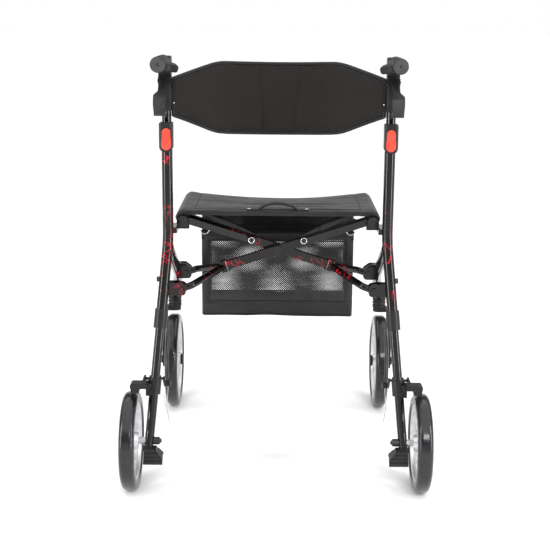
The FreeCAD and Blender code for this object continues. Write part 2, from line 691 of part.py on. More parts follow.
def rear_axle(name, side):
    """Axle through the leg, its inner knob, the wheel's end disc and the bracket bolt's dome nut."""
    z = s.rear_wheel_radius
    hub_outer = s.rear_half_track + s.hub_width / 2
    knob_inner = s.foot_half_gap - s.leg_radius - 15
    out = X_AXIS * side
    shaft = cylinder(f"axle_shaft_{name}", "axle_radius", str(hub_outer + 4 - knob_inner - 3),
                     at(side, knob_inner + 3, 0, z), out)
    knob = cylinder(f"axle_knob_{name}", "axle_radius + 2", "12", at(side, knob_inner + 3, 0, z), out)
    dome = doc.addObject("Part::Sphere", f"axle_dome_{name}")
    bind(dome, Radius="axle_radius - 0.5")
    dome.Placement = Placement(at(side, knob_inner + 4, 0, z), Rotation())
    disc = cylinder(f"axle_disc_{name}", "hub_radius - 6", "3", at(side, hub_outer + 1, 0, z), out)
    spacer = cylinder(f"axle_spacer_{name}", "axle_radius + 2", "7",
                      at(side, s.foot_half_gap + s.leg_radius + 1.4, 0, z), out)
    leg = feature(f"axle_leg_{name}", swept([knee(side), knee(side) + leg_way(side) * 2 * leg_length(side)], 0,
                                            s.leg_radius))
    outer_pieces = fuse(f"axle_{name}", shaft, dome, disc)
    shield = cut(f"axle_sleeves_{name}", fuse(f"axle_sleeve_{name}", knob, spacer), leg)
    solid = fuse(f"rear_axle_{name}", outer_pieces, shield)
    height = s.pivot_height + 22
    share = (s.knee_height - height) / (s.knee_height - s.rear_wheel_radius)
    middle = s.upright_half_gap + share * (s.foot_half_gap - s.upright_half_gap)
    setback = s.upright_setback * (1 - share)
    nut = cylinder(f"dome_nut_{name}", "5.5", "6", at(side, middle + s.tube_radius - 1, setback, height), out)
    tube = feature(f"dome_nut_tube_{name}", swept(side_tube_route(side), KNEE_BEND, s.tube_radius))
    group(f"rear_axle_{name}", solid, cut(f"dome_nut_{name}", nut, tube))


def tipping_pedal(name, side):
    """Plug on the leg's end with a ribbed foot pedal that points back and down."""
    way = leg_way(side)
    end = knee(side) + way * (leg_length(side) + s.leg_tail + 4)
    start = knee(side) + way * (leg_length(side) + s.leg_tail - 7)
    socket = cylinder(f"pedal_socket_{name}", "leg_radius + 3", str((end - start).Length), start, way)
    y, z = REAR_AXLE_Y, end.z
    profile = [(y + 6, z + 3, 3), (y - 6, z + 14, 4), (y - 18, z + 10)]
    rib_drop = Vector(-24, -30).normalize()
    rib_out = Vector(-rib_drop.y, rib_drop.x) * -1
    edge = Vector(y - 18, z + 10)
    for number in range(4):
        a = edge + rib_drop * (number * 8 + 1)
        b = edge + rib_drop * (number * 8 + 3)
        c = edge + rib_drop * (number * 8 + 6)
        d = edge + rib_drop * (number * 8 + 8)
        profile += [(a.x, a.y), (b.x + rib_out.x * 1.4, b.y + rib_out.y * 1.4),
                    (c.x + rib_out.x * 1.4, c.y + rib_out.y * 1.4), (d.x, d.y)]
    tip = edge + rib_drop * 33
    profile += [(tip.x + 7, tip.y - 4, 3), (y - 14, z - 6), (y + 4, z - 8, 4)]
    outer = s.foot_half_gap + 9.5
    middle = side * (outer - 19.5)
    blade = padded(f"pedal_{name}", "YZ_Plane", profile, "39", middle, True)
    front = [(side * outer, z - 30, 2), (side * outer, z + 6), (side * (outer - 6), z + 20),
             (side * (outer - 24), z + 20), (side * (outer - 26), z + 6), (side * (outer - 39), z - 6, 8),
             (side * (outer - 39), z - 30, 10)]
    shape = padded(f"pedal_front_{name}", "XZ_Plane", front, "300", -REAR_AXLE_Y, True)
    both = doc.addObject("Part::Common", f"pedal_common_{name}")
    both.Base = blade
    both.Tool = shape
    leg = feature(f"pedal_leg_{name}", swept([knee(side), knee(side) + way * (leg_length(side) + s.leg_tail)], 0,
                                             s.leg_radius))
    node(f"tipping_pedal_{name}", cut(f"pedal_{name}", fuse(f"pedal_{name}", socket, both), leg))


BRAKE_PIVOT_SETBACK = 43.0
BRAKE_GAP = 5.0
CRANK_REACH = 21.0
CRANK_DROP = 18.0


def brake_pivot(side, x):
    return at(side, x, BRAKE_PIVOT_SETBACK, 2 * s.rear_wheel_radius + 19)


def leg_at_height(side, height):
    way = leg_way(side)
    return knee(side) + way * ((height - s.knee_height) / way.z)


def brake_bracket(name, side):
    """Clamp on the rear leg with the bearing for the brake arm's shaft."""
    pivot = brake_pivot(side, 0)
    middle = leg_at_height(side, pivot.z - 10)
    way = leg_way(side)
    sleeve = cylinder(f"brake_sleeve_{name}", "leg_radius + 4", "32", middle - way * 16, way)
    reach = abs(middle.x)
    boss = cylinder(f"brake_boss_{name}", "7", "24", brake_pivot(side, reach - 12), X_AXIS * side)
    cheek = block(f"brake_cheek_{name}", "16", "24", "26", Vector(side * (reach + 9), middle.y, middle.z - 5))
    leg = feature(f"brake_leg_{name}", swept([knee(side), knee(side) + way * leg_length(side)], 0, s.leg_radius))
    bore = cylinder(f"brake_bore_{name}", "3 + running_gap", "60", brake_pivot(side, reach - 30), X_AXIS * side)
    solid = fuse(f"brake_bracket_{name}", sleeve, boss, cheek)
    node(f"brake_bracket_{name}", cut(f"brake_bracket_{name}", solid, leg, bore))


def brake_arm(name, side):
    """Shoe over the rear tyre, its guard, the shaft and the inner crank with the cable clamp."""
    pivot = brake_pivot(side, 0)
    y, z = pivot.y, pivot.z
    leg_x = abs(leg_at_height(side, pivot.z).x)
    plate_x = leg_x + 22
    crank_x = leg_x - 17
    outer = s.rear_half_track
    shaft = cylinder(f"brake_shaft_{name}", "3", str(plate_x - crank_x + 2), brake_pivot(side, crank_x - 2),
                     X_AXIS * side)
    axle_y = REAR_AXLE_Y
    plate = padded(f"brake_plate_{name}", "YZ_Plane",
                   [(y + 7, z - 7, 6), (y + 7, z + 7, 6), (axle_y - 12, z + 7, 3), (axle_y - 12, z - 5, 3),
                    (y - 16, z - 5, 6)], "4", side * plate_x, True)
    guard = padded(f"brake_guard_{name}", "XZ_Plane",
                   [(side * (outer - 34), z - 5), (side * outer, z - 5, 2), (side * outer, z + 6, 5),
                    (side * (outer - 34), z + 6, 3)], "24", -axle_y, True)
    shoe = block(f"brake_shoe_{name}", "17", "22", "12", Vector(side * (outer - 9.5), axle_y, z - 10))
    hollow = cylinder(f"brake_hollow_{name}", f"rear_wheel_radius + {BRAKE_GAP}", "60",
                      at(side, outer - 40, 0, s.rear_wheel_radius), X_AXIS * side)
    crank = padded(f"brake_crank_{name}", "YZ_Plane",
                   [(y - 6, z - 2, 5), (y + 2, z + 6, 5), (y + CRANK_REACH + 6, z - CRANK_DROP + 3, 5),
                    (y + CRANK_REACH - 3, z - CRANK_DROP - 7, 5)], "4", side * crank_x, True)
    knob = cylinder(f"brake_knob_{name}", "6.5", "14", Vector(side * (crank_x - 12), y + CRANK_REACH, z - CRANK_DROP),
                    X_AXIS * side)
    slot = block(f"brake_slot_{name}", "2.6", "8.5", "30",
                 Vector(side * (crank_x - 6), y + CRANK_REACH + 0.25, z - CRANK_DROP))
    arm = fuse(f"brake_arm_{name}", shaft, plate, guard, shoe, crank, knob)
    node(f"brake_arm_{name}", cut(f"brake_arm_{name}", arm, hollow, slot))


def lower_cable(name, side):
    """Brake cable from the frame tube to the brake arm's clamp, and its bare wire tail."""
    pivot = brake_pivot(side, 0)
    x = abs(leg_at_height(side, pivot.z).x) - 23
    clamp_y = BRAKE_PIVOT_SETBACK + CRANK_REACH
    clamp_z = pivot.z - CRANK_DROP
    leave = leg_at_height(side, s.pivot_height - 12)
    jacket_points = [leave, leave + Vector(-side * 5, 20, -26), at(side, x - 2, clamp_y + 10, s.pivot_height - 105),
                     at(side, x, clamp_y + 3, clamp_z + 62), at(side, x, clamp_y, clamp_z + 12)]
    tube = swept(side_tube_route(side), KNEE_BEND, s.tube_radius + 0.2)
    jacket = swept(jacket_points, 24.0, 2.4).cut(tube)
    jacket = max(jacket.Solids, key=lambda k: k.Volume)
    wire_points = [at(side, x, clamp_y, clamp_z + 12), at(side, x, clamp_y, clamp_z - 14),
                   at(side, x + 3, clamp_y - 4, clamp_z - 50), at(side, x - 2, clamp_y + 4, clamp_z - 86)]
    wire = swept(wire_points, 40.0, 0.8)
    group(f"lower_cable_{name}", feature(f"jacket_{name}", jacket), feature(f"wire_{name}", wire))


# ---------------------------------------------------------------- casters
def caster_fork(name, side):
    """Single-sided fork: stem, crown and one arm outside the wheel, with the axle and hub cap."""
    swivel = at(side, s.front_half_track, s.wheelbase + s.caster_trail, 0)
    axle = at(side, s.front_half_track, s.wheelbase, s.front_wheel_radius)
    crown_low = 2 * s.front_wheel_radius + s.fork_gap
    crown_top = crown_low + s.crown_thickness
    arm_x = s.front_half_track + s.tyre_width / 2 + s.fork_gap + s.fork_thickness / 2
    out = X_AXIS * side
    stem = cylinder(f"stem_{name}", "axle_radius", str(s.caster_head_height - 4),
                    Vector(swivel.x, swivel.y, crown_top - 2))
    washer = cylinder(f"stem_washer_{name}", "caster_head_radius - 3", "1.6",
                      Vector(swivel.x, swivel.y, crown_top))
    inner = swivel.x - side * 15
    outer = side * (arm_x + s.fork_thickness / 2)
    crown_outline = [(inner, swivel.y - 15, 13), (outer, swivel.y - 15, 3),
                     (outer, swivel.y + 15, 3), (inner, swivel.y + 15, 13)]
    crown = padded(f"crown_{name}", "XY_Plane", crown_outline, "crown_thickness", crown_low)
    y, z = axle.y, axle.z
    arm_outline = [(swivel.y + 15, crown_top), (swivel.y - 15, crown_top), (y - 19, z + 20, 20), (y - 19, z - 19, 18),
                   (y + 19, z - 19, 18), (y + 21, z + 26, 20)]
    arm = padded(f"fork_arm_{name}", "YZ_Plane", arm_outline, "fork_thickness", side * arm_x, True)
    bore = cylinder(f"fork_bore_{name}", "axle_radius", "60", axle, out)
    hub_inner = s.front_half_track - s.hub_width / 2
    shaft = cylinder(f"front_shaft_{name}", "axle_radius", str(arm_x + s.fork_thickness / 2 - hub_inner + 1),
                     at(side, hub_inner - 1, s.wheelbase, z), out)
    head = cylinder(f"front_head_{name}", "axle_radius + 4", "4",
                    at(side, arm_x + s.fork_thickness / 2, s.wheelbase, z), out)
    cap = cylinder(f"hub_cap_{name}", "hub_radius - 5.5", "6", at(side, hub_inner - 7, s.wheelbase, z), out)
    doc.recompute()
    cap = round_edges(f"hub_cap_{name}", cap, 2.0, lambda edge: isinstance(edge.Curve, Part.Circle)
                      and abs(abs(edge.CenterOfMass.x) - (hub_inner - 7)) < 0.1)
    sleeve = cylinder(f"front_sleeve_{name}", "axle_radius + 3",
                      str(arm_x - s.fork_thickness / 2 - s.front_half_track - s.hub_width / 2 - 0.5),
                      at(side, s.front_half_track + s.hub_width / 2 + 0.5, s.wheelbase, z), out)
    fork = cut(f"fork_{name}", fuse(f"fork_{name}", stem, washer, crown, arm), bore)
    group(f"caster_fork_{name}", fork, fuse(f"front_axle_{name}", shaft, head, cap, sleeve))


# ---------------------------------------------------------------- X-brace and seat
def brace_angle():
    return math.atan2(s.rail_height - s.pivot_height, 2 * s.rail_half_gap)


def brace_point(side, reach, setback, lift=0.0):
    """A point on the bar that rises towards side: reach is signed from the crossing."""
    middle = (s.rail_height + s.pivot_height) / 2
    return at(side, reach, setback, middle + reach * math.tan(brace_angle()) + lift)


def bar_setback(side):
    """Each bar lies half a bar and half the washer gap off the brace's middle."""
    return s.brace_setback + (-side) * (s.brace_width + s.brace_gap) / 2


BOLT_RADIUS = 5.0


def bar_name(side):
    return "a" if side > 0 else "b"


def cross_bar(side):
    """Bar that rises towards side; its lower end forks to the two pivots on the other frame."""
    name = bar_name(side)
    setback = bar_setback(side)
    angle = brace_angle()
    way = Vector(math.cos(angle) * side, 0, math.sin(angle))
    up = Vector(-math.sin(angle) * side, 0, math.cos(angle)) * (s.brace_height / 2)
    low = brace_point(side, -s.knuckle_reach, setback) - way * 10
    high = brace_point(side, s.rail_half_gap, setback)
    outline = [(p.x, p.z) for p in (low + up, low - up, high - up, high + up)]
    bar = padded(f"bar_{name}", "XZ_Plane", outline, "brace_width", -(setback + REAR_AXLE_Y), True)
    knuckle = brace_point(side, 2 - s.knuckle_reach, setback)
    hub = cylinder(f"bar_{name}_knuckle", "brace_width / 2 + 3", "brace_height + 6", knuckle - up * 4 / 3, up)
    pieces = [bar, hub]
    eyes = []
    for number, pivot_setback in enumerate((s.pivot_rear, s.pivot_front)):
        eye = brace_point(side, -s.rail_half_gap, pivot_setback)
        corner = brace_point(side, -(s.rail_half_gap - 22), pivot_setback)
        pieces.append(feature(f"bar_{name}_arm{number}", swept([knuckle, corner, eye], 13.0, s.fork_tube_radius)))
        pieces.append(cylinder(f"bar_{name}_eye{number}", "fork_tube_radius + 1.5", "2 * fork_tube_radius",
                               eye - Y_AXIS * s.fork_tube_radius, Y_AXIS))
        eyes.append(cylinder(f"bar_{name}_eye_bore{number}", "pivot_pin_radius + running_gap",
                             "2 * fork_tube_radius + 10", eye - Y_AXIS * (s.fork_tube_radius + 5), Y_AXIS))
    rail = cylinder(f"bar_{name}_rail", "rail_radius", "rail_length",
                    at(side, s.rail_half_gap, s.rail_start, s.rail_height), Y_AXIS)
    grow = 0.0 if side > 0 else s.running_gap
    crossing = cylinder(f"bar_{name}_crossing", str(BOLT_RADIUS + grow), "60",
                        brace_point(side, 0, s.brace_setback - 30), Y_AXIS)
    bolt = cylinder(f"bar_{name}_bolt_bore", "6.5", "60", brace_point(side, s.support_reach, s.brace_setback - 30),
                    Y_AXIS)
    solid = fuse(f"cross_bar_{name}", *pieces)
    node(f"cross_bar_{name}", cut(f"cross_bar_{name}", solid, rail, crossing, bolt, *eyes))


def flat_bar(name, start, end, up, thickness, height):
    way = (end - start).normalize()
    turn = Rotation(way, Vector(), up, "XZY")
    return block(name, str((end - start).Length), str(thickness), str(height), (start + end) / 2, turn)


def support_arm(side):
    """Two flat arms that brace a bar's upper end to both ends of its seat rail, and their bolt."""
    name = bar_name(side)
    setback = bar_setback(side)
    half = s.brace_width / 2
    angle = brace_angle()
    up = Vector(-math.sin(angle) * side, 0, math.cos(angle))
    arms = []
    for number, (way, end_setback) in enumerate(((-1, s.rail_start + 24), (1, s.rail_start + s.rail_length - 40))):
        lift = 1.5 + 1.5 * way
        start = brace_point(side, s.support_reach - 8, setback + way * (half + 4), lift)
        end = brace_point(side, s.rail_half_gap - 2, end_setback)
        arms.append(flat_bar(f"support_{name}{number}", start, end, up, 5.0, 14.0))
    rail = cylinder(f"support_rail_{name}", "rail_radius", "rail_length",
                    at(side, s.rail_half_gap, s.rail_start, s.rail_height), Y_AXIS)
    bolt_start = brace_point(side, s.support_reach, setback - half - 9)
    bolt = cylinder(f"support_bolt_{name}", "6.5", str(2 * half + 18), bolt_start, Y_AXIS)
    solid = fuse(f"support_arm_{name}", *arms, bolt)
    node(f"support_arm_{name}", cut(f"support_arm_{name}", solid, rail))


def cross_bolt():
    """Bolt, washer and nut at the crossing; fixed in bar a, running in bar b."""
    reach = s.brace_width + s.brace_gap / 2
    shank = cylinder("cross_shank", str(BOLT_RADIUS), str(2 * reach + 2),
                     brace_point(1, 0, s.brace_setback - reach - 1), Y_AXIS)
    head = cylinder("cross_head", str(BOLT_RADIUS + 4), "4", brace_point(1, 0, s.brace_setback - reach - 4), Y_AXIS)
    nut = cylinder("cross_nut", str(BOLT_RADIUS + 4), "4", brace_point(1, 0, s.brace_setback + reach + 0.4), Y_AXIS)
    washer = cylinder("cross_washer", str(BOLT_RADIUS + 6), str(s.brace_gap - 0.4),
                      brace_point(1, 0, s.brace_setback - s.brace_gap / 2), Y_AXIS)
    node("cross_bolt", fuse("cross_bolt", shank, head, nut, washer))


def seat_rail(name, side):
    """Round rail with a plastic plug in each end."""
    start = at(side, s.rail_half_gap, s.rail_start, s.rail_height)
    outer = cylinder(f"rail_outer_{name}", "rail_radius", "rail_length", start, Y_AXIS)
    inner = cylinder(f"rail_inner_{name}", "rail_radius - tube_wall", "rail_length", start, Y_AXIS)
    pieces = [cut(f"rail_{name}", outer, inner)]
    for number, (place, way) in enumerate(((start, Y_AXIS), (start + Y_AXIS * s.rail_length, -Y_AXIS))):
        disc = cylinder(f"plug_disc_{name}{number}", "rail_radius", "3", place - way * 3, way)
        spigot = cylinder(f"plug_spigot_{name}{number}", "rail_radius - tube_wall", "9", place - way * 1, way)
        pieces.append(fuse(f"plug_{name}{number}", disc, spigot))
    group(f"seat_rail_{name}", *pieces)


def seat_top():
    return s.rail_height + s.rail_radius + s.soft_gap + s.seat_thickness


def seat():
    """Padded nylon sling over the two rails."""
    half = s.rail_half_gap + 8
    low = seat_top() - s.seat_thickness
    outline = [(-half, low, 3), (half, low, 3), (half, seat_top(), 5), (-half, seat_top(), 5)]
    middle = s.rail_start + s.rail_length / 2 + REAR_AXLE_Y
    body = padded("seat_body", "XZ_Plane", outline, "rail_length - 8", -middle, True)
    hem = block("seat_hem", str(2 * half + 2), "70", "2 * hem_step",
                at(1, 0, s.rail_start + 4, seat_top()))
    node("seat", cut("seat", body, hem))


def carry_strap():
    """Pull-up strap at the seat's rear edge, with a rivet at each end."""
    low = seat_top() - s.hem_step + 0.5
    thick = 2.5
    upper = [(-68, low + thick, 1), (-42, low + thick, 8), (-22, low + 16 + thick, 16), (22, low + 16 + thick, 16),
             (42, low + thick, 8), (68, low + thick, 1)]
    lower = [(68, low), (43, low, 10), (21, low + 16, 12), (-21, low + 16, 12), (-43, low, 10), (-68, low)]
    middle = s.rail_start + 20 + REAR_AXLE_Y
    band = padded("strap_band", "XZ_Plane", upper + lower, "22", -middle, True)
    rivets = [cylinder(f"strap_rivet{i}", "4.5", "1.4", Vector(way * 58, middle, low + thick))
              for i, way in enumerate((-1, 1))]
    group("carry_strap", band, *rivets)


def backrest():
    """Padded band from handle to handle, bowed forward, deeper in the middle than at its ends."""
    half = s.upright_half_gap - 12
    radius = (half ** 2 + s.back_sweep ** 2) / (2 * s.back_sweep)
    centre = at(1, 0, s.upright_setback + s.back_sweep - radius, 0)
    outer = cylinder("back_outer", str(radius + s.back_thickness / 2), "back_top + 20", centre)
    inner = cylinder("back_inner", str(radius - s.back_thickness / 2), "back_top + 20", centre)
    end = s.upright_half_gap - 11.4
    end_middle = s.grip_height - 67
    end_half = s.back_end_height / 2
    low = s.back_top - s.back_height
    outline = [(-end, end_middle - end_half, 4), (-132, low + 5, 22), (0, low - 1, 400), (132, low + 5, 22),
               (end, end_middle - end_half, 4), (end, end_middle + end_half, 6), (132, s.back_top + 3, 18),
               (0, s.back_top - 1, 500), (-132, s.back_top + 3, 18), (-end, end_middle + end_half, 6)]
    front = padded("back_front", "XZ_Plane", outline, str(s.back_sweep + 12),
                   -(s.upright_setback + 2 + (s.back_sweep + 12) / 2 + REAR_AXLE_Y), True)
    both = doc.addObject("Part::Common", "back_common")
    both.Base = cut("back_ring", outer, inner)
    both.Tool = front
    node("backrest", both)


def mesh_bag():
    """Open-topped shopping bag under the seat, in front of the brace."""
    half = s.bag_width / 2
    low = s.bag_top - s.bag_height
    y = s.bag_setback + REAR_AXLE_Y
    outline = [(-half, y, 6), (half, y, 6), (half, y + s.bag_depth, 14), (-half, y + s.bag_depth, 14)]
    body = padded("bag_body", "XY_Plane", outline, "bag_height", low)
    wall = s.bag_wall
    inside = [(-half + wall, y + wall, 4), (half - wall, y + wall, 4),
              (half - wall, y + s.bag_depth - wall, 11), (-half + wall, y + s.bag_depth - wall, 11)]
    sketch = sketch_on(body, "bag_inside", "XY_Plane", Vector(0, 0, s.bag_top))
    draw(sketch, inside)
    doc.recompute()
    pocket = body.newObject("PartDesign::Pocket", "bag_hollow")
    pocket.Profile = sketch
    bind(pocket, Length="bag_height - bag_wall")
    node("mesh_bag", body)


def bag_rings():
    """The two rings that the bag hangs from."""
    rings = []
    for name, side in SIDES.items():
        ring = doc.addObject("Part::Torus", f"ring_{name}")
        ring.Radius1 = 8.5
        ring.Radius2 = 1.5
        ring.Placement = facing(at(side, s.bag_width / 2 - 8, s.bag_setback + 3, s.bag_top + 10.4), Y_AXIS)
        rings.append(ring)
    group("bag_rings", *rings)


# ---------------------------------------------------------------- assembly
for side_name, side_way in SIDES.items():
    for build in (side_tube, front_leg, rear_leg, leg_collar, caster_head, frame_brackets, height_clamp,
                  height_button, handle_tube, handle_body, grip, brake_lever, upper_cable, rear_axle,
                  tipping_pedal, brake_bracket, brake_arm, lower_cable, caster_fork, seat_rail):
        build(side_name, side_way)
    tyre(f"rear_tyre_{side_name}", side_way, s.rear_half_track, 0, s.rear_wheel_radius)
    rim(f"rear_rim_{side_name}", side_way, s.rear_half_track, 0, s.rear_wheel_radius)
    tyre(f"front_tyre_{side_name}", side_way, s.front_half_track, s.wheelbase, s.front_wheel_radius)
    rim(f"front_rim_{side_name}", side_way, s.front_half_track, s.wheelbase, s.front_wheel_radius)
    cross_bar(side_way)
    support_arm(side_way)
cross_bolt()
seat()
carry_strap()
backrest()
mesh_bag()
bag_rings()
doc.recompute()

faults = [obj.Name for obj in doc.Objects if "Invalid" in obj.State or "Error" in obj.State]
faults += [obj.Label for obj in nodes if obj.Shape.isNull() or not obj.Shape.isValid()]
if faults:
    raise SystemExit("these objects failed: " + ", ".join(faults))

os.makedirs("parts", exist_ok=True)
for obj in nodes:
    obj.Shape.exportStep(f"parts/{obj.Label}.step")
print(len(nodes), "nodes")
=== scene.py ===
"""A folding rollator walker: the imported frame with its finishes, fabric and trim."""
import math

import bmesh
import bpy
from mathutils import Matrix, Vector, noise


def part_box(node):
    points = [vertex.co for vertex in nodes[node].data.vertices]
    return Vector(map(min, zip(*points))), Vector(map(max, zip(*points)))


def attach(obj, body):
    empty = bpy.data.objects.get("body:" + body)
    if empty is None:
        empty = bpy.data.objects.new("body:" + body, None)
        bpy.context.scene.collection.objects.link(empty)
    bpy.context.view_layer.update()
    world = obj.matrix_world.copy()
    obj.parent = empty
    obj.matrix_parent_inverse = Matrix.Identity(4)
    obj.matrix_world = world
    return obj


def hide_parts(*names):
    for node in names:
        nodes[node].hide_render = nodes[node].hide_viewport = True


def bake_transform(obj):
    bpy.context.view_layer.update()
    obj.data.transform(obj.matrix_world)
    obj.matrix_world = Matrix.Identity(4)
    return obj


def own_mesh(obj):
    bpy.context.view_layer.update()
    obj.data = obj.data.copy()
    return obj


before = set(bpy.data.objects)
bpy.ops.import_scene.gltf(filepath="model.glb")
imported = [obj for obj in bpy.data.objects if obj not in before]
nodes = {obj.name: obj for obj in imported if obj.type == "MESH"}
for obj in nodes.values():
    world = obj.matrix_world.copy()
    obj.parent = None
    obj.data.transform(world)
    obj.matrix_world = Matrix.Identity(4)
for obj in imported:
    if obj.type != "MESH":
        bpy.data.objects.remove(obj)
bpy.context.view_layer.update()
MM = 0.001
SIDES = {"left": -1, "right": 1}
ALONG = Vector((0, 1, 0))


# ---------------------------------------------------------------- view, light and floor
LENS = 75.03
CAMERA_PLACE = (-0.0015, -2.5016, 0.9675)
LOOK_DOWN = math.radians(12.95)
YAW = 0.0015
ROLL = 0.0084


def aim_camera():
    """From behind the walker, near its centre line, looking a little down."""
    data = bpy.data.cameras.new("camera")
    data.sensor_width = 36.0
    data.lens = LENS
    camera = bpy.data.objects.new("camera", data)
    turn = Matrix.Rotation(YAW, 4, "Z")
    tilt = Matrix.Rotation(math.radians(90) - LOOK_DOWN, 4, "X")
    roll = Matrix.Rotation(ROLL, 4, "Z")
    camera.matrix_world = Matrix.Translation(CAMERA_PLACE) @ turn @ tilt @ roll
    bpy.context.scene.collection.objects.link(camera)
    bpy.context.scene.camera = camera


def soft_box(name, place, target, width, height, power):
    data = bpy.data.lights.new(name, "AREA")
    data.shape = "RECTANGLE"
    data.size = width
    data.size_y = height
    data.energy = power
    lamp = bpy.data.objects.new(name, data)
    lamp.location = place
    lamp.rotation_euler = (Vector(target) - Vector(place)).to_track_quat("-Z", "Y").to_euler()
    bpy.context.scene.collection.objects.link(lamp)


def light_studio():
    """A dim dome that is bright near the horizon, broad light from above and strips beside the tubes."""
    world = bpy.data.worlds.new("studio")
    world.use_nodes = True
    tree = world.node_tree
    background = tree.nodes["Background"]
    background.inputs["Color"].default_value = (1.0, 1.0, 1.0, 1.0)
    place = tree.nodes.new("ShaderNodeTexCoord")
    split = tree.nodes.new("ShaderNodeSeparateXYZ")
    tree.links.new(place.outputs["Generated"], split.inputs[0])
    level = tree.nodes.new("ShaderNodeMath")
    level.operation = "ABSOLUTE"
    tree.links.new(split.outputs["Z"], level.inputs[0])
    ramp = tree.nodes.new("ShaderNodeValToRGB")
    ramp.color_ramp.elements[0].position = 0.17
    ramp.color_ramp.elements[0].color = (1.0, 1.0, 1.0, 1.0)
    ramp.color_ramp.elements[1].position = 0.3
    ramp.color_ramp.elements[1].color = (0.12, 0.12, 0.12, 1.0)
    tree.links.new(level.outputs[0], ramp.inputs["Fac"])
    tree.links.new(ramp.outputs["Color"], background.inputs["Strength"])
    bpy.context.scene.world = world
    bpy.context.scene.view_settings.view_transform = "Standard"
    middle = (0.0, 0.0, 0.45)
    sky = bpy.data.lights.new("overhead", "SUN")
    sky.energy = 2.95
    sky.angle = math.radians(100)
    lamp = bpy.data.objects.new("overhead", sky)
    bpy.context.scene.collection.objects.link(lamp)
    soft_box("left_strip", (-2.4, -1.5, 1.2), middle, 0.3, 2.4, 60.0)
    soft_box("right_strip", (2.4, -1.5, 1.2), middle, 0.3, 2.4, 60.0)
    soft_box("rear_fill", (0.9, -3.4, 2.3), middle, 0.7, 0.7, 30.0)


def lay_floor():
    """A pale round floor that runs out to the bright horizon."""
    radius = 60.0
    steps = 64
    angles = [2 * math.pi * i / steps for i in range(steps)]
    points = [Vector((radius * math.cos(angle), radius * math.sin(angle), 0)) for angle in angles]
    floor = mesh_object("floor", points, [tuple(range(steps))], False)
    material = Finish("pale_floor", roughness=0.9)
    grain = material.noise(6.0, 3.0)
    material.colour(material.ramp(grain, [(0.3, (0.93, 0.93, 0.93)), (0.7, (0.96, 0.96, 0.96))]))
    floor.data.materials.append(material.block)


# ---------------------------------------------------------------- meshes
def mesh_object(name, points, faces, smooth=True):
    data = bpy.data.meshes.new(name)
    data.from_pydata([tuple(p) for p in points], [], faces)
    data.validate()
    data.shade_smooth() if smooth else data.shade_flat()
    obj = bpy.data.objects.new(name, data)
    bpy.context.scene.collection.objects.link(obj)
    return obj


def settled(obj):
    """The object with its modifiers, or its curve, made into plain mesh."""
    bpy.context.view_layer.update()
    graph = bpy.context.evaluated_depsgraph_get()
    data = bpy.data.meshes.new_from_object(obj.evaluated_get(graph))
    name = obj.name
    if obj.type == "MESH":
        obj.modifiers.clear()
        obj.data = data
        return obj
    bpy.data.objects.remove(obj)
    data.name = name
    made = bpy.data.objects.new(name, data)
    bpy.context.scene.collection.objects.link(made)
    return made


def joined(name, pieces):
    """One object out of several meshes, each with its own materials."""
    mesh = bmesh.new()
    materials = []
    for piece in pieces:
        first = len(mesh.faces)
        piece.data.transform(piece.matrix_world)
        mesh.from_mesh(piece.data)
        mesh.faces.ensure_lookup_table()
        slots = []
        for material in piece.data.materials:
            if material not in materials:
                materials.append(material)
            slots.append(materials.index(material))
        for face in mesh.faces[first:]:
            face.material_index = slots[face.material_index] if slots else 0
        bpy.data.objects.remove(piece)
    data = bpy.data.meshes.new(name)
    mesh.to_mesh(data)
    mesh.free()
    for material in materials:
        data.materials.append(material)
    obj = bpy.data.objects.new(name, data)
    bpy.context.scene.collection.objects.link(obj)
    return obj


def cord_mesh(name, points, radius, material, closed=False, flat=1.0, normal=None):
    """A round or flattened piping along points: flat is its thickness as a share of its width."""
    sides = 8
    count = len(points)
    made = []
    faces = []
    for i, point in enumerate(points):
        before = points[i - 1] if i or closed else point
        after = points[(i + 1) % count] if i < count - 1 or closed else point
        along = (Vector(after) - Vector(before)).normalized()
        side = along.cross(normal or Vector((0, 0, 1)))
        if side.length < 0.05:
            side = along.cross(Vector((0, 1, 0)))
        side.normalize()
        up = side.cross(along)
        for k in range(sides):
            angle = 2 * math.pi * (k + 0.5) / sides
            out = side * radius * math.cos(angle)
            made.append(Vector(point) + out + up * radius * flat * math.sin(angle))
    spans = count if closed else count - 1
    for i in range(spans):
        a = i * sides
        b = (i + 1) % count * sides
        for k in range(sides):
            n = (k + 1) % sides
            faces.append((a + k, a + n, b + n, b + k))
    if not closed:
        faces.append(tuple(range(sides))[::-1])
        faces.append(tuple((count - 1) * sides + k for k in range(sides)))
    obj = mesh_object(name, made, faces)
    obj.data.materials.append(material)
    return obj


def stitches(name, points, material, pitch=5.5 * MM, length=3.4 * MM, radius=0.45 * MM):
    """A row of thread stitches lying along points."""
    points = [Vector(p) for p in points]
    spans = [(b - a).length for a, b in zip(points, points[1:])]
    total = sum(spans)

    def place(distance):
        for a, b, span in zip(points, points[1:], spans):
            if distance <= span:
                return a.lerp(b, distance / max(span, 1e-9))
            distance -= span
        return points[-1]

    pieces = []
    for i in range(int(total / pitch)):
        start = i * pitch
        ends = [place(start), place(start + length / 2), place(start + length)]
        pieces.append(cord_mesh(f"{name}_{i}", ends, radius, material))
    return joined(name, pieces)


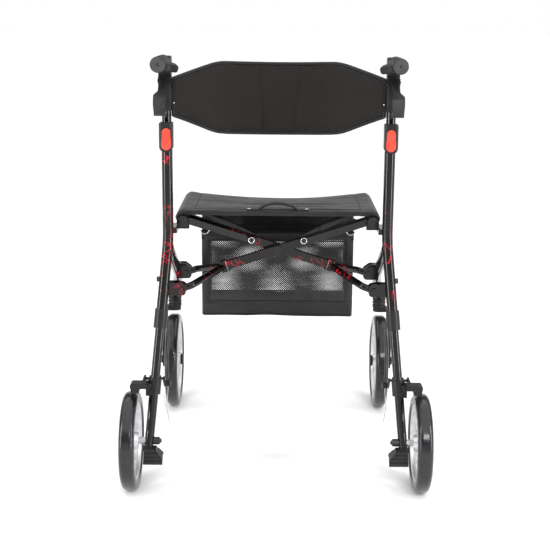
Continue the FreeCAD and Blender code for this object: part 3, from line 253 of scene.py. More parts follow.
def lathe(name, profile, centre, direction, material, steps=32):
    """Turned piece: profile is (distance along direction, radius)."""
    turn = Vector((0, 0, 1)).rotation_difference(Vector(direction)).to_matrix()
    points = []
    for height, radius in profile:
        for k in range(steps):
            angle = 2 * math.pi * k / steps
            local = Vector((radius * math.cos(angle), radius * math.sin(angle), height))
            points.append(Vector(centre) + turn @ local)
    faces = []
    for i in range(len(profile) - 1):
        for k in range(steps):
            n = (k + 1) % steps
            faces.append((i * steps + k, i * steps + n, (i + 1) * steps + n, (i + 1) * steps + k))
    faces.append(tuple(range(steps))[::-1])
    faces.append(tuple((len(profile) - 1) * steps + k for k in range(steps)))
    obj = mesh_object(name, points, faces)
    obj.data.materials.append(material)
    return obj


# ---------------------------------------------------------------- materials
class Finish:
    """A Principled material; its nodes work in the row frame's coordinates, in metres."""

    def __init__(self, name, roughness=0.5, metallic=0.0, coat=0.0, sheen=0.0, specular=0.5):
        self.block = bpy.data.materials.new(name)
        self.block.use_nodes = True
        self.tree = self.block.node_tree
        self.shader = self.tree.nodes["Principled BSDF"]
        self.shader.inputs["Roughness"].default_value = roughness
        self.shader.inputs["Metallic"].default_value = metallic
        self.shader.inputs["Coat Weight"].default_value = coat
        self.shader.inputs["Coat Roughness"].default_value = 0.08
        self.shader.inputs["Sheen Weight"].default_value = sheen
        self.shader.inputs["Sheen Roughness"].default_value = 0.45
        self.shader.inputs["Specular IOR Level"].default_value = specular
        self.place = self.node("TexCoord").outputs["Object"]

    def node(self, kind, inputs=None, **settings):
        made = self.tree.nodes.new("ShaderNode" + kind)
        for key, value in settings.items():
            setattr(made, key, value)
        for key, value in (inputs or {}).items():
            if isinstance(value, bpy.types.NodeSocket):
                self.tree.links.new(value, made.inputs[key])
            else:
                made.inputs[key].default_value = value
        return made

    def scaled(self, scale, turn=(0.0, 0.0, 0.0)):
        """The coordinates turned and stretched."""
        mapping = self.node("Mapping", {"Vector": self.place, "Scale": scale, "Rotation": turn})
        return mapping.outputs["Vector"]

    def noise(self, scale, detail=2.0, vector=None, distortion=0.0):
        inputs = {"Vector": vector or self.place, "Scale": scale, "Detail": detail, "Distortion": distortion}
        return self.node("TexNoise", inputs).outputs["Fac"]

    def wave(self, pitch, axis, distortion=0.0, vector=None, profile="SIN"):
        """Bands across one axis, one every pitch metres."""
        inputs = {"Vector": vector or self.place, "Scale": 0.31416 / pitch, "Distortion": distortion}
        made = self.node("TexWave", inputs, bands_direction=axis, wave_profile=profile)
        return made.outputs["Fac"]

    def maths(self, operation, a, b=0.5):
        return self.node("Math", {0: a, 1: b}, operation=operation).outputs["Value"]

    def ramp(self, factor, stops):
        made = self.node("ValToRGB", {"Fac": factor})
        band = made.color_ramp
        while len(band.elements) < len(stops):
            band.elements.new(0.5)
        for element, (position, value) in zip(band.elements, stops):
            element.position = position
            element.color = (*value, 1.0)
        return made.outputs["Color"]

    def mix(self, factor, a, b):
        made = self.node("Mix", data_type="RGBA")
        for key, value in ((0, factor), (6, a), (7, b)):
            if isinstance(value, bpy.types.NodeSocket):
                self.tree.links.new(value, made.inputs[key])
            else:
                made.inputs[key].default_value = value if key == 0 else (*value, 1.0)
        return made.outputs[2]

    def colour(self, socket):
        self.tree.links.new(socket, self.shader.inputs["Base Color"])

    def roughness(self, factor, low, high):
        made = self.node("MapRange", {"Value": factor, "To Min": low, "To Max": high})
        self.tree.links.new(made.outputs["Result"], self.shader.inputs["Roughness"])

    def bump(self, height, distance, strength=1.0):
        made = self.node("Bump", {"Height": height, "Distance": distance, "Strength": strength})
        self.tree.links.new(made.outputs["Normal"], self.shader.inputs["Normal"])

    def alpha(self, factor):
        self.tree.links.new(factor, self.shader.inputs["Alpha"])


def marbled_paint():
    """Gloss black with crimson flame streaks, thin and broken."""
    paint = Finish("marbled_paint", roughness=0.16, coat=0.25, specular=0.22)
    warp = paint.node("TexNoise", {"Vector": paint.place, "Scale": 34.0, "Detail": 3.0})
    shifted = paint.node("MixRGB", {"Fac": 0.045, "Color1": paint.place, "Color2": warp.outputs["Color"]},
                         blend_type="ADD")
    stretched = paint.node("Mapping", {"Vector": shifted.outputs["Color"], "Scale": (1.0, 0.8, 0.30),
                                       "Rotation": (0.35, 0.25, 0.0)})
    cells = paint.node("TexVoronoi", {"Vector": stretched.outputs["Vector"], "Scale": 62.0},
                       feature="DISTANCE_TO_EDGE")
    fade = [(0.0, (1, 1, 1)), (0.016, (0.6, 0.6, 0.6)), (0.038, (0, 0, 0))]
    vein = paint.ramp(cells.outputs["Distance"], fade)
    patch = paint.ramp(paint.noise(19.0, 2.0), [(0.53, (0, 0, 0)), (0.6, (1, 1, 1))])
    streak = paint.maths("MULTIPLY", vein, patch)
    red = paint.ramp(paint.noise(90.0, 3.0), [(0.35, (0.2, 0.0, 0.008)), (0.62, (0.75, 0.006, 0.03))])
    paint.colour(paint.mix(streak, (0.0022, 0.0018, 0.0018), red))
    paint.bump(paint.noise(420.0, 2.0), 0.05 * MM)
    return paint.block


def black_paint():
    paint = Finish("black_paint", roughness=0.16, coat=0.3, specular=0.25)
    blacks = [(0.35, (0.002, 0.002, 0.0022)), (0.7, (0.005, 0.005, 0.0055))]
    paint.colour(paint.ramp(paint.noise(60.0, 4.0), blacks))
    paint.roughness(paint.noise(25.0, 3.0), 0.12, 0.24)
    paint.bump(paint.noise(420.0, 2.0), 0.05 * MM)
    return paint.block


def moulded_plastic(name, dark, light, low=0.38, high=0.55, grain=1800.0, specular=0.3):
    """Fine grained moulding with a faint cloudiness and paler worn spots."""
    plastic = Finish(name, roughness=0.45, specular=specular)
    cloud = plastic.noise(45.0, 5.0)
    plastic.colour(plastic.ramp(cloud, [(0.3, dark), (0.75, light)]))
    plastic.roughness(plastic.noise(90.0, 3.0), low, high)
    plastic.bump(plastic.noise(grain, 2.0), 0.12 * MM, 0.6)
    return plastic.block


def tyre_rubber():
    """Dark polyurethane with fine turned lines round the tread and a soft gloss."""
    rubber = Finish("tyre_rubber", roughness=0.2, coat=0.25, specular=0.3)
    scuff = rubber.noise(38.0, 6.0)
    rubber.colour(rubber.ramp(scuff, [(0.3, (0.006, 0.006, 0.007)), (0.72, (0.018, 0.018, 0.020))]))
    rubber.roughness(rubber.noise(22.0, 4.0), 0.14, 0.34)
    lines = rubber.wave(3.1 * MM, "X")
    rubber.bump(rubber.mix(0.25, lines_colour(rubber, lines), lines_colour(rubber, rubber.noise(500.0, 3.0))),
                0.12 * MM, 0.55)
    return rubber.block


def lines_colour(finish, factor):
    """A grey value as a colour, for mixing heights."""
    return finish.ramp(factor, [(0.0, (0, 0, 0)), (1.0, (1, 1, 1))])


def rim_silver():
    silver = Finish("rim_silver", roughness=0.3, metallic=0.55)
    greys = [(0.3, (0.50, 0.50, 0.52)), (0.7, (0.68, 0.68, 0.70))]
    silver.colour(silver.ramp(silver.noise(55.0, 4.0), greys))
    silver.roughness(silver.noise(120.0, 3.0), 0.25, 0.42)
    silver.bump(silver.noise(1500.0, 2.0), 0.05 * MM)
    return silver.block


def bright_steel():
    steel = Finish("bright_steel", roughness=0.25, metallic=1.0)
    brushed = steel.noise(900.0, 3.0, steel.scaled((1.0, 0.06, 1.0)))
    steel.colour(steel.ramp(brushed, [(0.3, (0.52, 0.52, 0.54)), (0.75, (0.80, 0.80, 0.82))]))
    steel.roughness(brushed, 0.14, 0.34)
    steel.bump(brushed, 0.02 * MM)
    return steel.block


def steel_outside(name, distance, sign):
    """Steel beyond a distance from the centre plane, black moulding inside it."""
    part = Finish(name, roughness=0.3, metallic=1.0)
    across = part.node("SeparateXYZ", {"Vector": part.place}).outputs["X"]
    out = part.maths("GREATER_THAN", part.maths("ABSOLUTE", across), distance)
    grain = part.noise(700.0, 3.0)
    steel = part.ramp(grain, [(0.3, (0.50, 0.50, 0.52)), (0.75, (0.78, 0.78, 0.80))])
    part.colour(part.mix(out, (0.012, 0.012, 0.013), steel))
    part.tree.links.new(out, part.shader.inputs["Metallic"])
    part.roughness(grain, 0.2, 0.42)
    part.bump(grain, 0.03 * MM)
    return part.block


def wire_below(name, height):
    """Black cable jacket whose bare wire shows under a height."""
    part = Finish(name, roughness=0.35)
    up = part.node("SeparateXYZ", {"Vector": part.place}).outputs["Z"]
    bare = part.maths("LESS_THAN", up, height)
    strands = part.wave(1.2 * MM, "Z", 1.0)
    wire = part.ramp(strands, [(0.2, (0.32, 0.32, 0.33)), (0.8, (0.70, 0.70, 0.72))])
    part.colour(part.mix(bare, (0.010, 0.010, 0.010), wire))
    part.tree.links.new(bare, part.shader.inputs["Metallic"])
    part.roughness(part.noise(80.0, 3.0), 0.25, 0.42)
    part.bump(strands, 0.05 * MM)
    return part.block


def woven_nylon(name="woven_nylon", dark=(0.003, 0.003, 0.0034), light=(0.011, 0.011, 0.012), pitch=1.1 * MM,
                sheen=0.1):
    """Plain weave: two crossing thread bands, lighter where a thread lies on top."""
    cloth = Finish(name, roughness=0.5, sheen=sheen, specular=0.35)
    warp = cloth.wave(pitch, "X", 0.4)
    weft = cloth.wave(pitch, "Y", 0.4)
    rise = cloth.wave(pitch, "Z", 0.4)
    weave = cloth.maths("MAXIMUM", cloth.maths("MULTIPLY", warp, weft), cloth.maths("MULTIPLY", warp, rise))
    tone = cloth.maths("MULTIPLY", weave, cloth.noise(16.0, 4.0))
    cloth.colour(cloth.ramp(tone, [(0.05, dark), (0.6, light)]))
    cloth.roughness(cloth.noise(30.0, 3.0), 0.38, 0.6)
    cloth.bump(weave, 0.25 * MM, 0.7)
    return cloth.block


def spacer_mesh():
    """Air mesh: rows of small round pits set diagonally, brown in the pits."""
    cloth = Finish("spacer_mesh", roughness=0.7, sheen=0.05, specular=0.25)
    turned = cloth.scaled((1.0, 0.0, 1.0), (0.0, math.radians(45), 0.0))
    pitch = 3.6 * MM
    across = cloth.wave(pitch, "X", vector=turned)
    down = cloth.wave(pitch, "Z", vector=turned)
    pit = cloth.maths("MULTIPLY", across, down)
    shade = cloth.ramp(pit, [(0.15, (0.0028, 0.0024, 0.0023)), (0.55, (0.022, 0.017, 0.012))])
    cloud = cloth.noise(9.0, 3.0)
    cloth.colour(cloth.mix(cloth.maths("MULTIPLY", cloud, 0.75), shade, (0.0038, 0.0034, 0.0034)))
    cloth.roughness(pit, 0.78, 0.55)
    cloth.bump(cloth.maths("SUBTRACT", 1.0, pit), 0.55 * MM, 0.8)
    return cloth.block


def open_mesh():
    """Polyester net of the bag: small holes in staggered rows that show what is behind, shrunk in bands as
    painted fold shade.
    """
    net = Finish("open_mesh", roughness=0.6, sheen=0.05)
    turned = net.scaled((1.0, 0.0, 1.0), (0.0, math.radians(45), 0.0))
    pitch = 3.3 * MM
    hole = net.maths("MULTIPLY", net.wave(pitch, "X", vector=turned), net.wave(pitch, "Z", vector=turned))
    net.colour(net.ramp(net.noise(40.0, 3.0), [(0.3, (0.006, 0.006, 0.006)), (0.7, (0.020, 0.019, 0.019))]))
    # Painted fold shade: stretched noise bands where the holes shrink, so the net is darker there, standing
    # for shade in the folds and for doubled cloth.
    fold = net.noise(1.0, 3.0, net.scaled((9.0, 9.0, 42.0), (0.0, math.radians(12), 0.0)))
    fold_shade_range = {"Value": fold, "From Min": 0.35, "From Max": 0.68, "To Min": 0.2, "To Max": 0.62}
    edge = net.node("MapRange", fold_shade_range)
    net.alpha(net.maths("LESS_THAN", hole, edge.outputs["Result"]))
    net.bump(hole, 0.3 * MM, 0.6)
    return net.block


def webbing(name, dark, light):
    """Ribbed strap weave."""
    strap = Finish(name, roughness=0.6, sheen=0.05, specular=0.3)
    ribs = strap.maths("MULTIPLY", strap.wave(1.6 * MM, "X"), strap.wave(2.6 * MM, "Y"))
    worn = strap.maths("MULTIPLY", ribs, strap.noise(30.0, 3.0))
    strap.colour(strap.ramp(worn, [(0.05, dark), (0.5, light)]))
    strap.bump(ribs, 0.3 * MM, 0.7)
    return strap.block


PAINT = marbled_paint()
BLACK = black_paint()
PLASTIC = moulded_plastic("charcoal_plastic", (0.0045, 0.0045, 0.005), (0.013, 0.013, 0.014), 0.3, 0.48)
PADDLE = moulded_plastic("lever_plastic", (0.012, 0.012, 0.013), (0.026, 0.026, 0.028), 0.3, 0.46)
CORAL = moulded_plastic("coral_plastic", (0.62, 0.045, 0.028), (0.74, 0.065, 0.04), 0.26, 0.38)
RUBBER = moulded_plastic("grip_rubber", (0.007, 0.007, 0.008), (0.018, 0.018, 0.019), 0.45, 0.62, 1100.0)
CAP = moulded_plastic("grip_cap_plastic", (0.035, 0.035, 0.038), (0.055, 0.055, 0.060), 0.4, 0.55)
TYRE = tyre_rubber()
SILVER = rim_silver()
STEEL = bright_steel()
NYLON = woven_nylon()
BORDER = woven_nylon("border_nylon", (0.002, 0.002, 0.002), (0.007, 0.007, 0.0075), 0.9 * MM, 0.05)
SPACER = spacer_mesh()
NET = open_mesh()
WEBBING = webbing("strap_webbing", (0.002, 0.002, 0.002), (0.011, 0.011, 0.012))
GREY_TAPE = webbing("grey_tape", (0.014, 0.014, 0.015), (0.045, 0.045, 0.047))
AXLE = steel_outside("axle_steel", 262 * MM, 1)
CABLE = wire_below("cable_jacket", 205 * MM)
THREAD = moulded_plastic("thread", (0.02, 0.02, 0.021), (0.05, 0.05, 0.052), 0.5, 0.65, 2600.0)

CAD_FINISHES = {
    "side_tube": PAINT, "frame_brackets": PAINT, "cross_bar": PAINT,
    "front_leg": BLACK, "rear_leg": BLACK, "seat_rail": BLACK, "support_arm": BLACK, "handle_tube": BLACK,
    "leg_collar": PLASTIC, "caster_head": PLASTIC, "height_clamp": PLASTIC, "handle_body": PLASTIC,
    "tipping_pedal": PLASTIC, "brake_bracket": PLASTIC, "brake_arm": PLASTIC, "caster_fork": PLASTIC,
    "upper_cable": BLACK, "lower_cable": CABLE, "brake_lever": PADDLE, "height_button": CORAL,
    "grip": RUBBER, "grip_cap": CAP, "rear_tyre": TYRE, "front_tyre": TYRE, "rear_rim": SILVER,
    "front_rim": SILVER, "rear_axle": AXLE, "cross_bolt": BLACK, "bag_rings": STEEL,
}


def finish_cad_nodes():
    """Gives every CAD node that shows its material."""
    for name, obj in nodes.items():
        kind = name
        for ending in ("_left", "_right", "_a", "_b"):
            kind = kind.removesuffix(ending)
        if kind not in CAD_FINISHES:
            continue
        for place in obj.material_slots:
            place.link = "OBJECT"
            place.material = CAD_FINISHES[kind]


# ---------------------------------------------------------------- padded pieces
def pad(name, across, along, surface, material):
    """Closed pad over a grid: surface(u, v) gives its upper and lower points, u and v from 0 to 1."""
    top = []
    bottom = []
    for j in range(along + 1):
        for i in range(across + 1):
            upper, lower = surface(i / across, j / along)
            top.append(upper)
            bottom.append(lower)
    width = across + 1
    below = len(top)
    faces = []
    for j in range(along):
        for i in range(across):
            a = j * width + i
            quad = (a, a + 1, a + width + 1, a + width)
            faces.append(quad)
            faces.append(tuple(k + below for k in quad[::-1]))
    rim = [i for i in range(across)]
    rim += [j * width + across for j in range(along)]
    rim += [along * width + i for i in range(across, 0, -1)]
    rim += [j * width for j in range(along, 0, -1)]
    for a, b in zip(rim, rim[1:] + rim[:1]):
        faces.append((b, a, a + below, b + below))
    obj = mesh_object(name, top + bottom, faces)
    obj.data.materials.append(material)
    return obj


def swollen(obj, voxel, pressure, cap):
    """Cloth run of 20 frames with air inside and no gravity, so that the pad swells and wrinkles."""
    materials = list(obj.data.materials)
    remesh = obj.modifiers.new("remesh", "REMESH")
    remesh.mode = "VOXEL"
    remesh.voxel_size = voxel
    settled(obj)
    start = [v.co.copy() for v in obj.data.vertices]
    cloth = obj.modifiers.new("cloth", "CLOTH")
    cloth.settings.use_pressure = True
    cloth.settings.uniform_pressure_force = pressure
    cloth.settings.effector_weights.gravity = 0.0
    cloth.point_cache.frame_end = 20
    scene = bpy.context.scene
    for step in range(1, 21):
        scene.frame_set(step)
    settled(obj)
    scene.frame_set(1)
    for vertex, before in zip(obj.data.vertices, start):
        move = vertex.co - before
        if move.length > cap:
            vertex.co = before + move * (cap / move.length)
    smooth = obj.modifiers.new("smooth", "SUBSURF")
    smooth.levels = 1
    settled(obj)
    obj.data.materials.clear()
    for material in materials:
        obj.data.materials.append(material)
    obj.data.shade_smooth()
    return obj


SEAT_LOW, SEAT_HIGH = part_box("seat")
SEAT_HALF = 200 * MM
SEAT_HEM = 19 * MM
RAIL_LOW, RAIL_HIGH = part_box("seat_rail_right")
RAIL_X = (RAIL_LOW.x + RAIL_HIGH.x) / 2
RAIL_Z = (RAIL_LOW.z + RAIL_HIGH.z) / 2
RAIL_RADIUS = (RAIL_HIGH.z - RAIL_LOW.z) / 2


def seat_height(x, y):
    """Upper face of the sling: taut over the rails, sagging towards the front edge, gently wrinkled."""
    share = (y - SEAT_LOW.y) / (SEAT_HIGH.y - SEAT_LOW.y)
    across = 1 - min(1.0, abs(x) / SEAT_HALF) ** 2
    sag = (1.5 * MM + 13 * MM * max(0.0, share) ** 1.6) * across
    wrinkle = noise.noise(Vector((x * 4.0, y * 30.0, 0.3))) * 3.4 * MM * (0.12 + across)
    wrinkle += noise.noise(Vector((x * 9.0 + y * 8.0, y * 70.0, 4.7))) * 1.6 * MM * (0.2 + across)
    side_seam = -1.6 * MM * math.exp(-((abs(x) - SEAT_HALF + 22 * MM) / (2.2 * MM)) ** 2)
    hem_seam = -1.6 * MM * math.exp(-((y - SEAT_LOW.y - SEAT_HEM) / (2.2 * MM)) ** 2)
    return SEAT_HIGH.z - 1 * MM - sag + wrinkle + side_seam + hem_seam


def build_seat():
    thick = SEAT_HIGH.z - SEAT_LOW.z - 1.5 * MM
    outer = SEAT_HIGH.z - 1 * MM - RAIL_Z
    inner = RAIL_RADIUS + 0.8 * MM
    middle = (outer + inner) / 2
    wrap = math.radians(80)
    reach = RAIL_X + middle * wrap

    def surface(u, v):
        along = (2 * u - 1) * reach
        y = SEAT_LOW.y + v * (SEAT_HIGH.y - SEAT_LOW.y)
        edge = min(u, 1 - u) * 2 * reach
        end = min(v, 1 - v) * (SEAT_HIGH.y - SEAT_LOW.y)
        round_off = 3.6 * MM
        drop = sum((round_off - min(round_off, gap)) ** 2 / round_off for gap in (edge, end))
        drop = min(drop, thick * 0.45)
        if abs(along) <= RAIL_X:
            z = seat_height(along, y)
            return Vector((along, y, z - drop)), Vector((along, y, z - thick + drop))
        way = math.copysign(1.0, along)
        angle = (abs(along) - RAIL_X) / middle
        lift = seat_height(way * RAIL_X, y) - (SEAT_HIGH.z - 1 * MM)
        lift *= 1 - angle / wrap
        thin = (outer - inner - 3 * MM) * min(1.0, angle / wrap)
        above = outer - thin - drop + lift
        below = inner + drop * 0.5
        turn = Vector((way * math.sin(angle), 0, math.cos(angle)))
        base = Vector((way * RAIL_X, y, RAIL_Z))
        return base + turn * above, base + turn * below

    seat = pad("seat_sling", 110, 66, surface, NYLON)
    rear = SEAT_LOW.y
    y_seam = rear + SEAT_HEM
    side = SEAT_HALF - 22 * MM
    samples = 60
    rear_row = [(-side + 2 * side * i / samples, y_seam + 2.6 * MM) for i in range(samples + 1)]
    rows = [rear_row]
    for way in (-1, 1):
        rows.append([(way * (side - 2.6 * MM), y_seam + (SEAT_HIGH.y - 6 * MM - y_seam) * i / samples)
                     for i in range(samples + 1)])
    threads = []
    for number, row in enumerate(rows):
        line = [Vector((x, y, seat_height(x, y) + 0.1 * MM)) for x, y in row]
        threads.append(stitches(f"seat_thread_{number}", line, THREAD))
    thread = joined("seat_stitching", threads)
    hem = []
    for i in range(samples + 1):
        x = -SEAT_HALF + 3 * MM + 2 * (SEAT_HALF - 3 * MM) * i / samples
        hem.append(Vector((x, rear + 0.3 * MM, seat_height(x, rear) - 3.4 * MM)))
    piping = cord_mesh("seat_piping", hem, 2.4 * MM, BORDER)
    rail_left = sum((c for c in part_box("seat_rail_left")), Vector()) / 2
    rail_right = sum((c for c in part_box("seat_rail_right")), Vector()) / 2
    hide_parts("seat")
    for piece in (seat, thread, piping):
        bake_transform(piece)
    return rail_left, rail_right


APRON_HEM = 452 * MM


def build_apron(rail_left, rail_right):
    """Cloth that hangs from the seat's front edge between the rails, with a taped hem."""
    half = 176 * MM
    y = SEAT_HIGH.y - 8 * MM
    top_gap = 9 * MM
    drop = APRON_HEM
    across = 60
    tall = 16
    points = []
    for side in (-1, 1):
        for j in range(tall + 1):
            for i in range(across + 1):
                x = -half + 2 * half * i / across
                high = seat_height(x, y) - top_gap
                z = drop + (high - drop) * j / tall
                loose = 1 - j / tall
                wave = 2.6 * MM * loose * noise.noise(Vector((x * 18.0, z * 8.0, 7.0)))
                points.append(Vector((x, y + wave + side * 0.7 * MM, z)))
    width = across + 1
    layer = width * (tall + 1)
    faces = []
    for j in range(tall):
        for i in range(across):
            a = j * width + i
            quad = (a, a + 1, a + width + 1, a + width)
            faces.append(quad)
            faces.append(tuple(k + layer for k in quad[::-1]))
    rim = list(range(across)) + [j * width + across for j in range(tall)]
    rim += [tall * width + i for i in range(across, 0, -1)] + [j * width for j in range(tall, 0, -1)]
    for a, b in zip(rim, rim[1:] + rim[:1]):
        faces.append((b, a, a + layer, b + layer))
    cloth = mesh_object("apron_cloth", points, faces)
    cloth.data.materials.append(BORDER)
    hem = [points[i] + Vector((0, 0.7 * MM, 3 * MM)) for i in range(across + 1)]
    tape = cord_mesh("apron_tape", hem, 3.4 * MM, WEBBING, flat=0.45, normal=ALONG)
    height = seat_height(0.0, y) - top_gap - drop
    for piece in (cloth, tape):
        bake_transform(piece)


RIVET_OFFSET = 61.06 * MM


def build_carry_strap(rail_left, rail_right):
    """Arched webbing handle at the seat's rear edge, stitched down and riveted at both ends."""
    low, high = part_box("carry_strap")
    y = (low.y + high.y) / 2
    half_width = 11 * MM
    reach = high.x - 3 * MM
    rise = high.z - low.z - 4 * MM
    steps = 48
    line = []
    for i in range(steps + 1):
        x = -reach + 2 * reach * i / steps
        share = max(0.0, 1 - abs(x) / (44 * MM))
        lift = rise * (1 - (1 - share) ** 2.2) if share > 0 else 0.0
        ease = min(1.0, share * 5)
        line.append(Vector((x, y, seat_height(x, y) + 1.2 * MM + lift * ease)))
    points = []
    faces = []
    thickness = 1.6 * MM
    for i, point in enumerate(line):
        before = line[max(0, i - 1)]
        after = line[min(steps, i + 1)]
        along = (after - before).normalized()
        up = Vector((0, 1, 0)).cross(along) * -1
        for side, lift in ((-1, 1), (-0.9, 1.35), (0.9, 1.35), (1, 1), (1, -1), (-1, -1)):
            points.append(point + Vector((0, side * half_width, 0)) + up * (lift * thickness))
    ring = 6
    for i in range(steps):
        for k in range(ring):
            n = (k + 1) % ring
            faces.append((i * ring + k, i * ring + n, (i + 1) * ring + n, (i + 1) * ring + k))
    faces.append(tuple(range(ring))[::-1])
    faces.append(tuple(steps * ring + k for k in range(ring)))
    band = mesh_object("carry_band", points, faces)
    band.data.materials.append(WEBBING)
    trim = []
    for side in (-1, 1):
        row = [p + Vector((0, side * (half_width - 1.6 * MM), 1.6 * MM)) for p in line]
        trim.append(stitches(f"carry_thread_{side}", row, THREAD, 4.6 * MM, 2.8 * MM))
    for way in (-1, 1):
        x = way * RIVET_OFFSET
        base = Vector((x, y, seat_height(x, y) + 2.2 * MM))
        dome = [(0.0, 5.2 * MM), (0.9 * MM, 5.0 * MM), (1.7 * MM, 3.6 * MM), (2.1 * MM, 1.5 * MM),
                (2.2 * MM, 0.2 * MM)]
        trim.append(lathe(f"carry_rivet_{way}", dome, base, (0, 0, 1), STEEL))
    trim = joined("carry_trim", trim)
    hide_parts("carry_strap")
    for piece in (band, trim):
        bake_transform(piece)


# ---------------------------------------------------------------- backrest
BACK_LOW, BACK_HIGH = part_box("backrest")
BACK_HALF = BACK_HIGH.x - 1.5 * MM
BACK_THICK = 11 * MM
BACK_REAR = BACK_LOW.y + 3 * MM
BACK_SWEEP = BACK_HIGH.y - BACK_THICK / 2 - BACK_REAR
BACK_RADIUS = (BACK_HALF ** 2 + BACK_SWEEP ** 2) / (2 * BACK_SWEEP)
BACK_SPREAD = math.asin(min(1.0, BACK_HALF / BACK_RADIUS))
SHOULDER = 128 * MM


def shoulder_ramp(x):
    """0 in the backrest's middle, then rising evenly past its shoulders, with a soft bend between."""
    soft = 7 * MM
    return soft * math.log1p(math.exp((abs(x) - SHOULDER) / soft))


def back_top(x):
    wave = 3.0 * MM * min(1.0, (x / (118 * MM)) ** 2)
    return BACK_HIGH.z - 4.5 * MM + wave - 0.34 * shoulder_ramp(x)


def back_bottom(x):
    wave = 3.5 * MM * min(1.0, (x / (118 * MM)) ** 2)
    return BACK_LOW.z + 0.5 * MM + wave + 0.50 * shoulder_ramp(x)


def back_place(u):
    """Middle of the band at u from 0 to 1 along its bow, and the direction out of its front face."""
    angle = (2 * u - 1) * BACK_SPREAD
    x = BACK_RADIUS * math.sin(angle)
    y = BACK_REAR + BACK_SWEEP - BACK_RADIUS * (1 - math.cos(angle))
    return x, y, Vector((math.sin(angle), math.cos(angle), 0))


def back_outline(inset, samples=180):
    """Closed line round the band, inset from its edge."""
    line = []
    for i in range(samples + 1):
        x, y, _ = back_place(i / samples)
        line.append(Vector((x, y, back_top(x) - inset)))
    for i in range(1, 8):
        x, y, _ = back_place(1.0)
        line.append(Vector((x, y, back_top(x) - inset + (back_bottom(x) - back_top(x) + 2 * inset) * i / 8)))
    for i in range(samples, -1, -1):
        x, y, _ = back_place(i / samples)
        line.append(Vector((x, y, back_bottom(x) + inset)))
    for i in range(1, 8):
        x, y, _ = back_place(0.0)
        rise = (back_top(x) - back_bottom(x) - 2 * inset) * i / 8
        line.append(Vector((x, y, back_bottom(x) + inset + rise)))
    return line


def build_backrest():
    crease_x = 42 * MM

    def surface(u, v):
        x, y, out = back_place(u)
        low = back_bottom(x)
        high = back_top(x)
        z = low + (high - low) * v
        edge = min(v, 1 - v) * (high - low)
        end = min(u, 1 - u) * 2 * BACK_SPREAD * BACK_RADIUS
        crown = min(1.0, edge / (22 * MM)) ** 0.55 * min(1.0, 0.45 + end / (50 * MM))
        half = 2.2 * MM + 3.3 * MM * crown
        off_crease = abs(x) - crease_x - 4 * MM * math.sin(z * 40)
        crease = 3.2 * MM * math.exp(-(off_crease / (5 * MM)) ** 2) * crown
        ripple = noise.noise(Vector((x * 16.0, y * 16.0, z * 22.0))) * 1.1 * MM * crown
        centre = Vector((x, y, z))
        rear_face = centre - out * (half - crease + ripple)
        front_face = centre + out * (half - 0.4 * crease + ripple * 0.5)
        return rear_face, front_face

    back = pad("backrest_pad", 190, 60, surface, SPACER)
    back = swollen(back, 4.5 * MM, 3.0, 2.2 * MM)
    binding = cord_mesh("backrest_binding", back_outline(1.6 * MM), 3.6 * MM, BORDER, closed=True)
    rows = []
    for face in (-1, 1):
        line = []
        samples = 150
        for i in range(samples + 1):
            x, y, out = back_place(i / samples)
            line.append(Vector((x, y, back_top(x) - 7 * MM)) + out * face * 4.4 * MM)
        rows.append(stitches(f"back_thread_top_{face}", line, THREAD, 6 * MM, 3.2 * MM, 0.35 * MM))
        line = []
        for i in range(samples + 1):
            x, y, out = back_place(i / samples)
            line.append(Vector((x, y, back_bottom(x) + 7 * MM)) + out * face * 4.4 * MM)
        rows.append(stitches(f"back_thread_low_{face}", line, THREAD, 6 * MM, 3.2 * MM, 0.35 * MM))
    thread = joined("backrest_stitching", rows)
    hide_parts("backrest")
    for piece in (back, binding, thread):
        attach(piece, "handle_left")
        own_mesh(piece)


# ---------------------------------------------------------------- shopping bag
BAG_LOW, BAG_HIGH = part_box("mesh_bag")


def bag_wave(x, z, face):
    """Soft folds of the hanging cloth, strongest half way down."""
    share = (z - BAG_LOW.z) / (BAG_HIGH.z - BAG_LOW.z)
    hang = math.sin(math.pi * min(1.0, max(0.0, share))) ** 0.7
    fold = noise.noise(Vector((x * 5.0 + 3.0 * face + z * 4.0, z * 30.0, 0.9 * face)))
    fold += 0.4 * noise.noise(Vector((x * 16.0 - z * 20.0, z * 50.0, 5.0 + face)))
    return (4.2 * MM * fold + 2.5 * MM) * hang


def rim_tape(loop):
    """Flat grey tape standing round the bag's open rim."""
    low = BAG_HIGH.z - 3 * MM
    high = BAG_HIGH.z + 5 * MM
    points = []
    for x, y, face in loop:
        out = Vector((0, face, 0)) if face else Vector((math.copysign(1.0, x), 0, 0))
        for z, push in ((low, 0.9 * MM), (high, 0.9 * MM), (high, -0.6 * MM), (low, -0.6 * MM)):
            points.append(Vector((x, y, z)) + out * push)
    count = len(loop)
    faces = []
    for i in range(count):
        n = (i + 1) % count
        for k in range(4):
            m = (k + 1) % 4
            faces.append((4 * i + k, 4 * n + k, 4 * n + m, 4 * i + m))
    tape = mesh_object("bag_rim", points, faces)
    tape.data.materials.append(GREY_TAPE)
    return tape


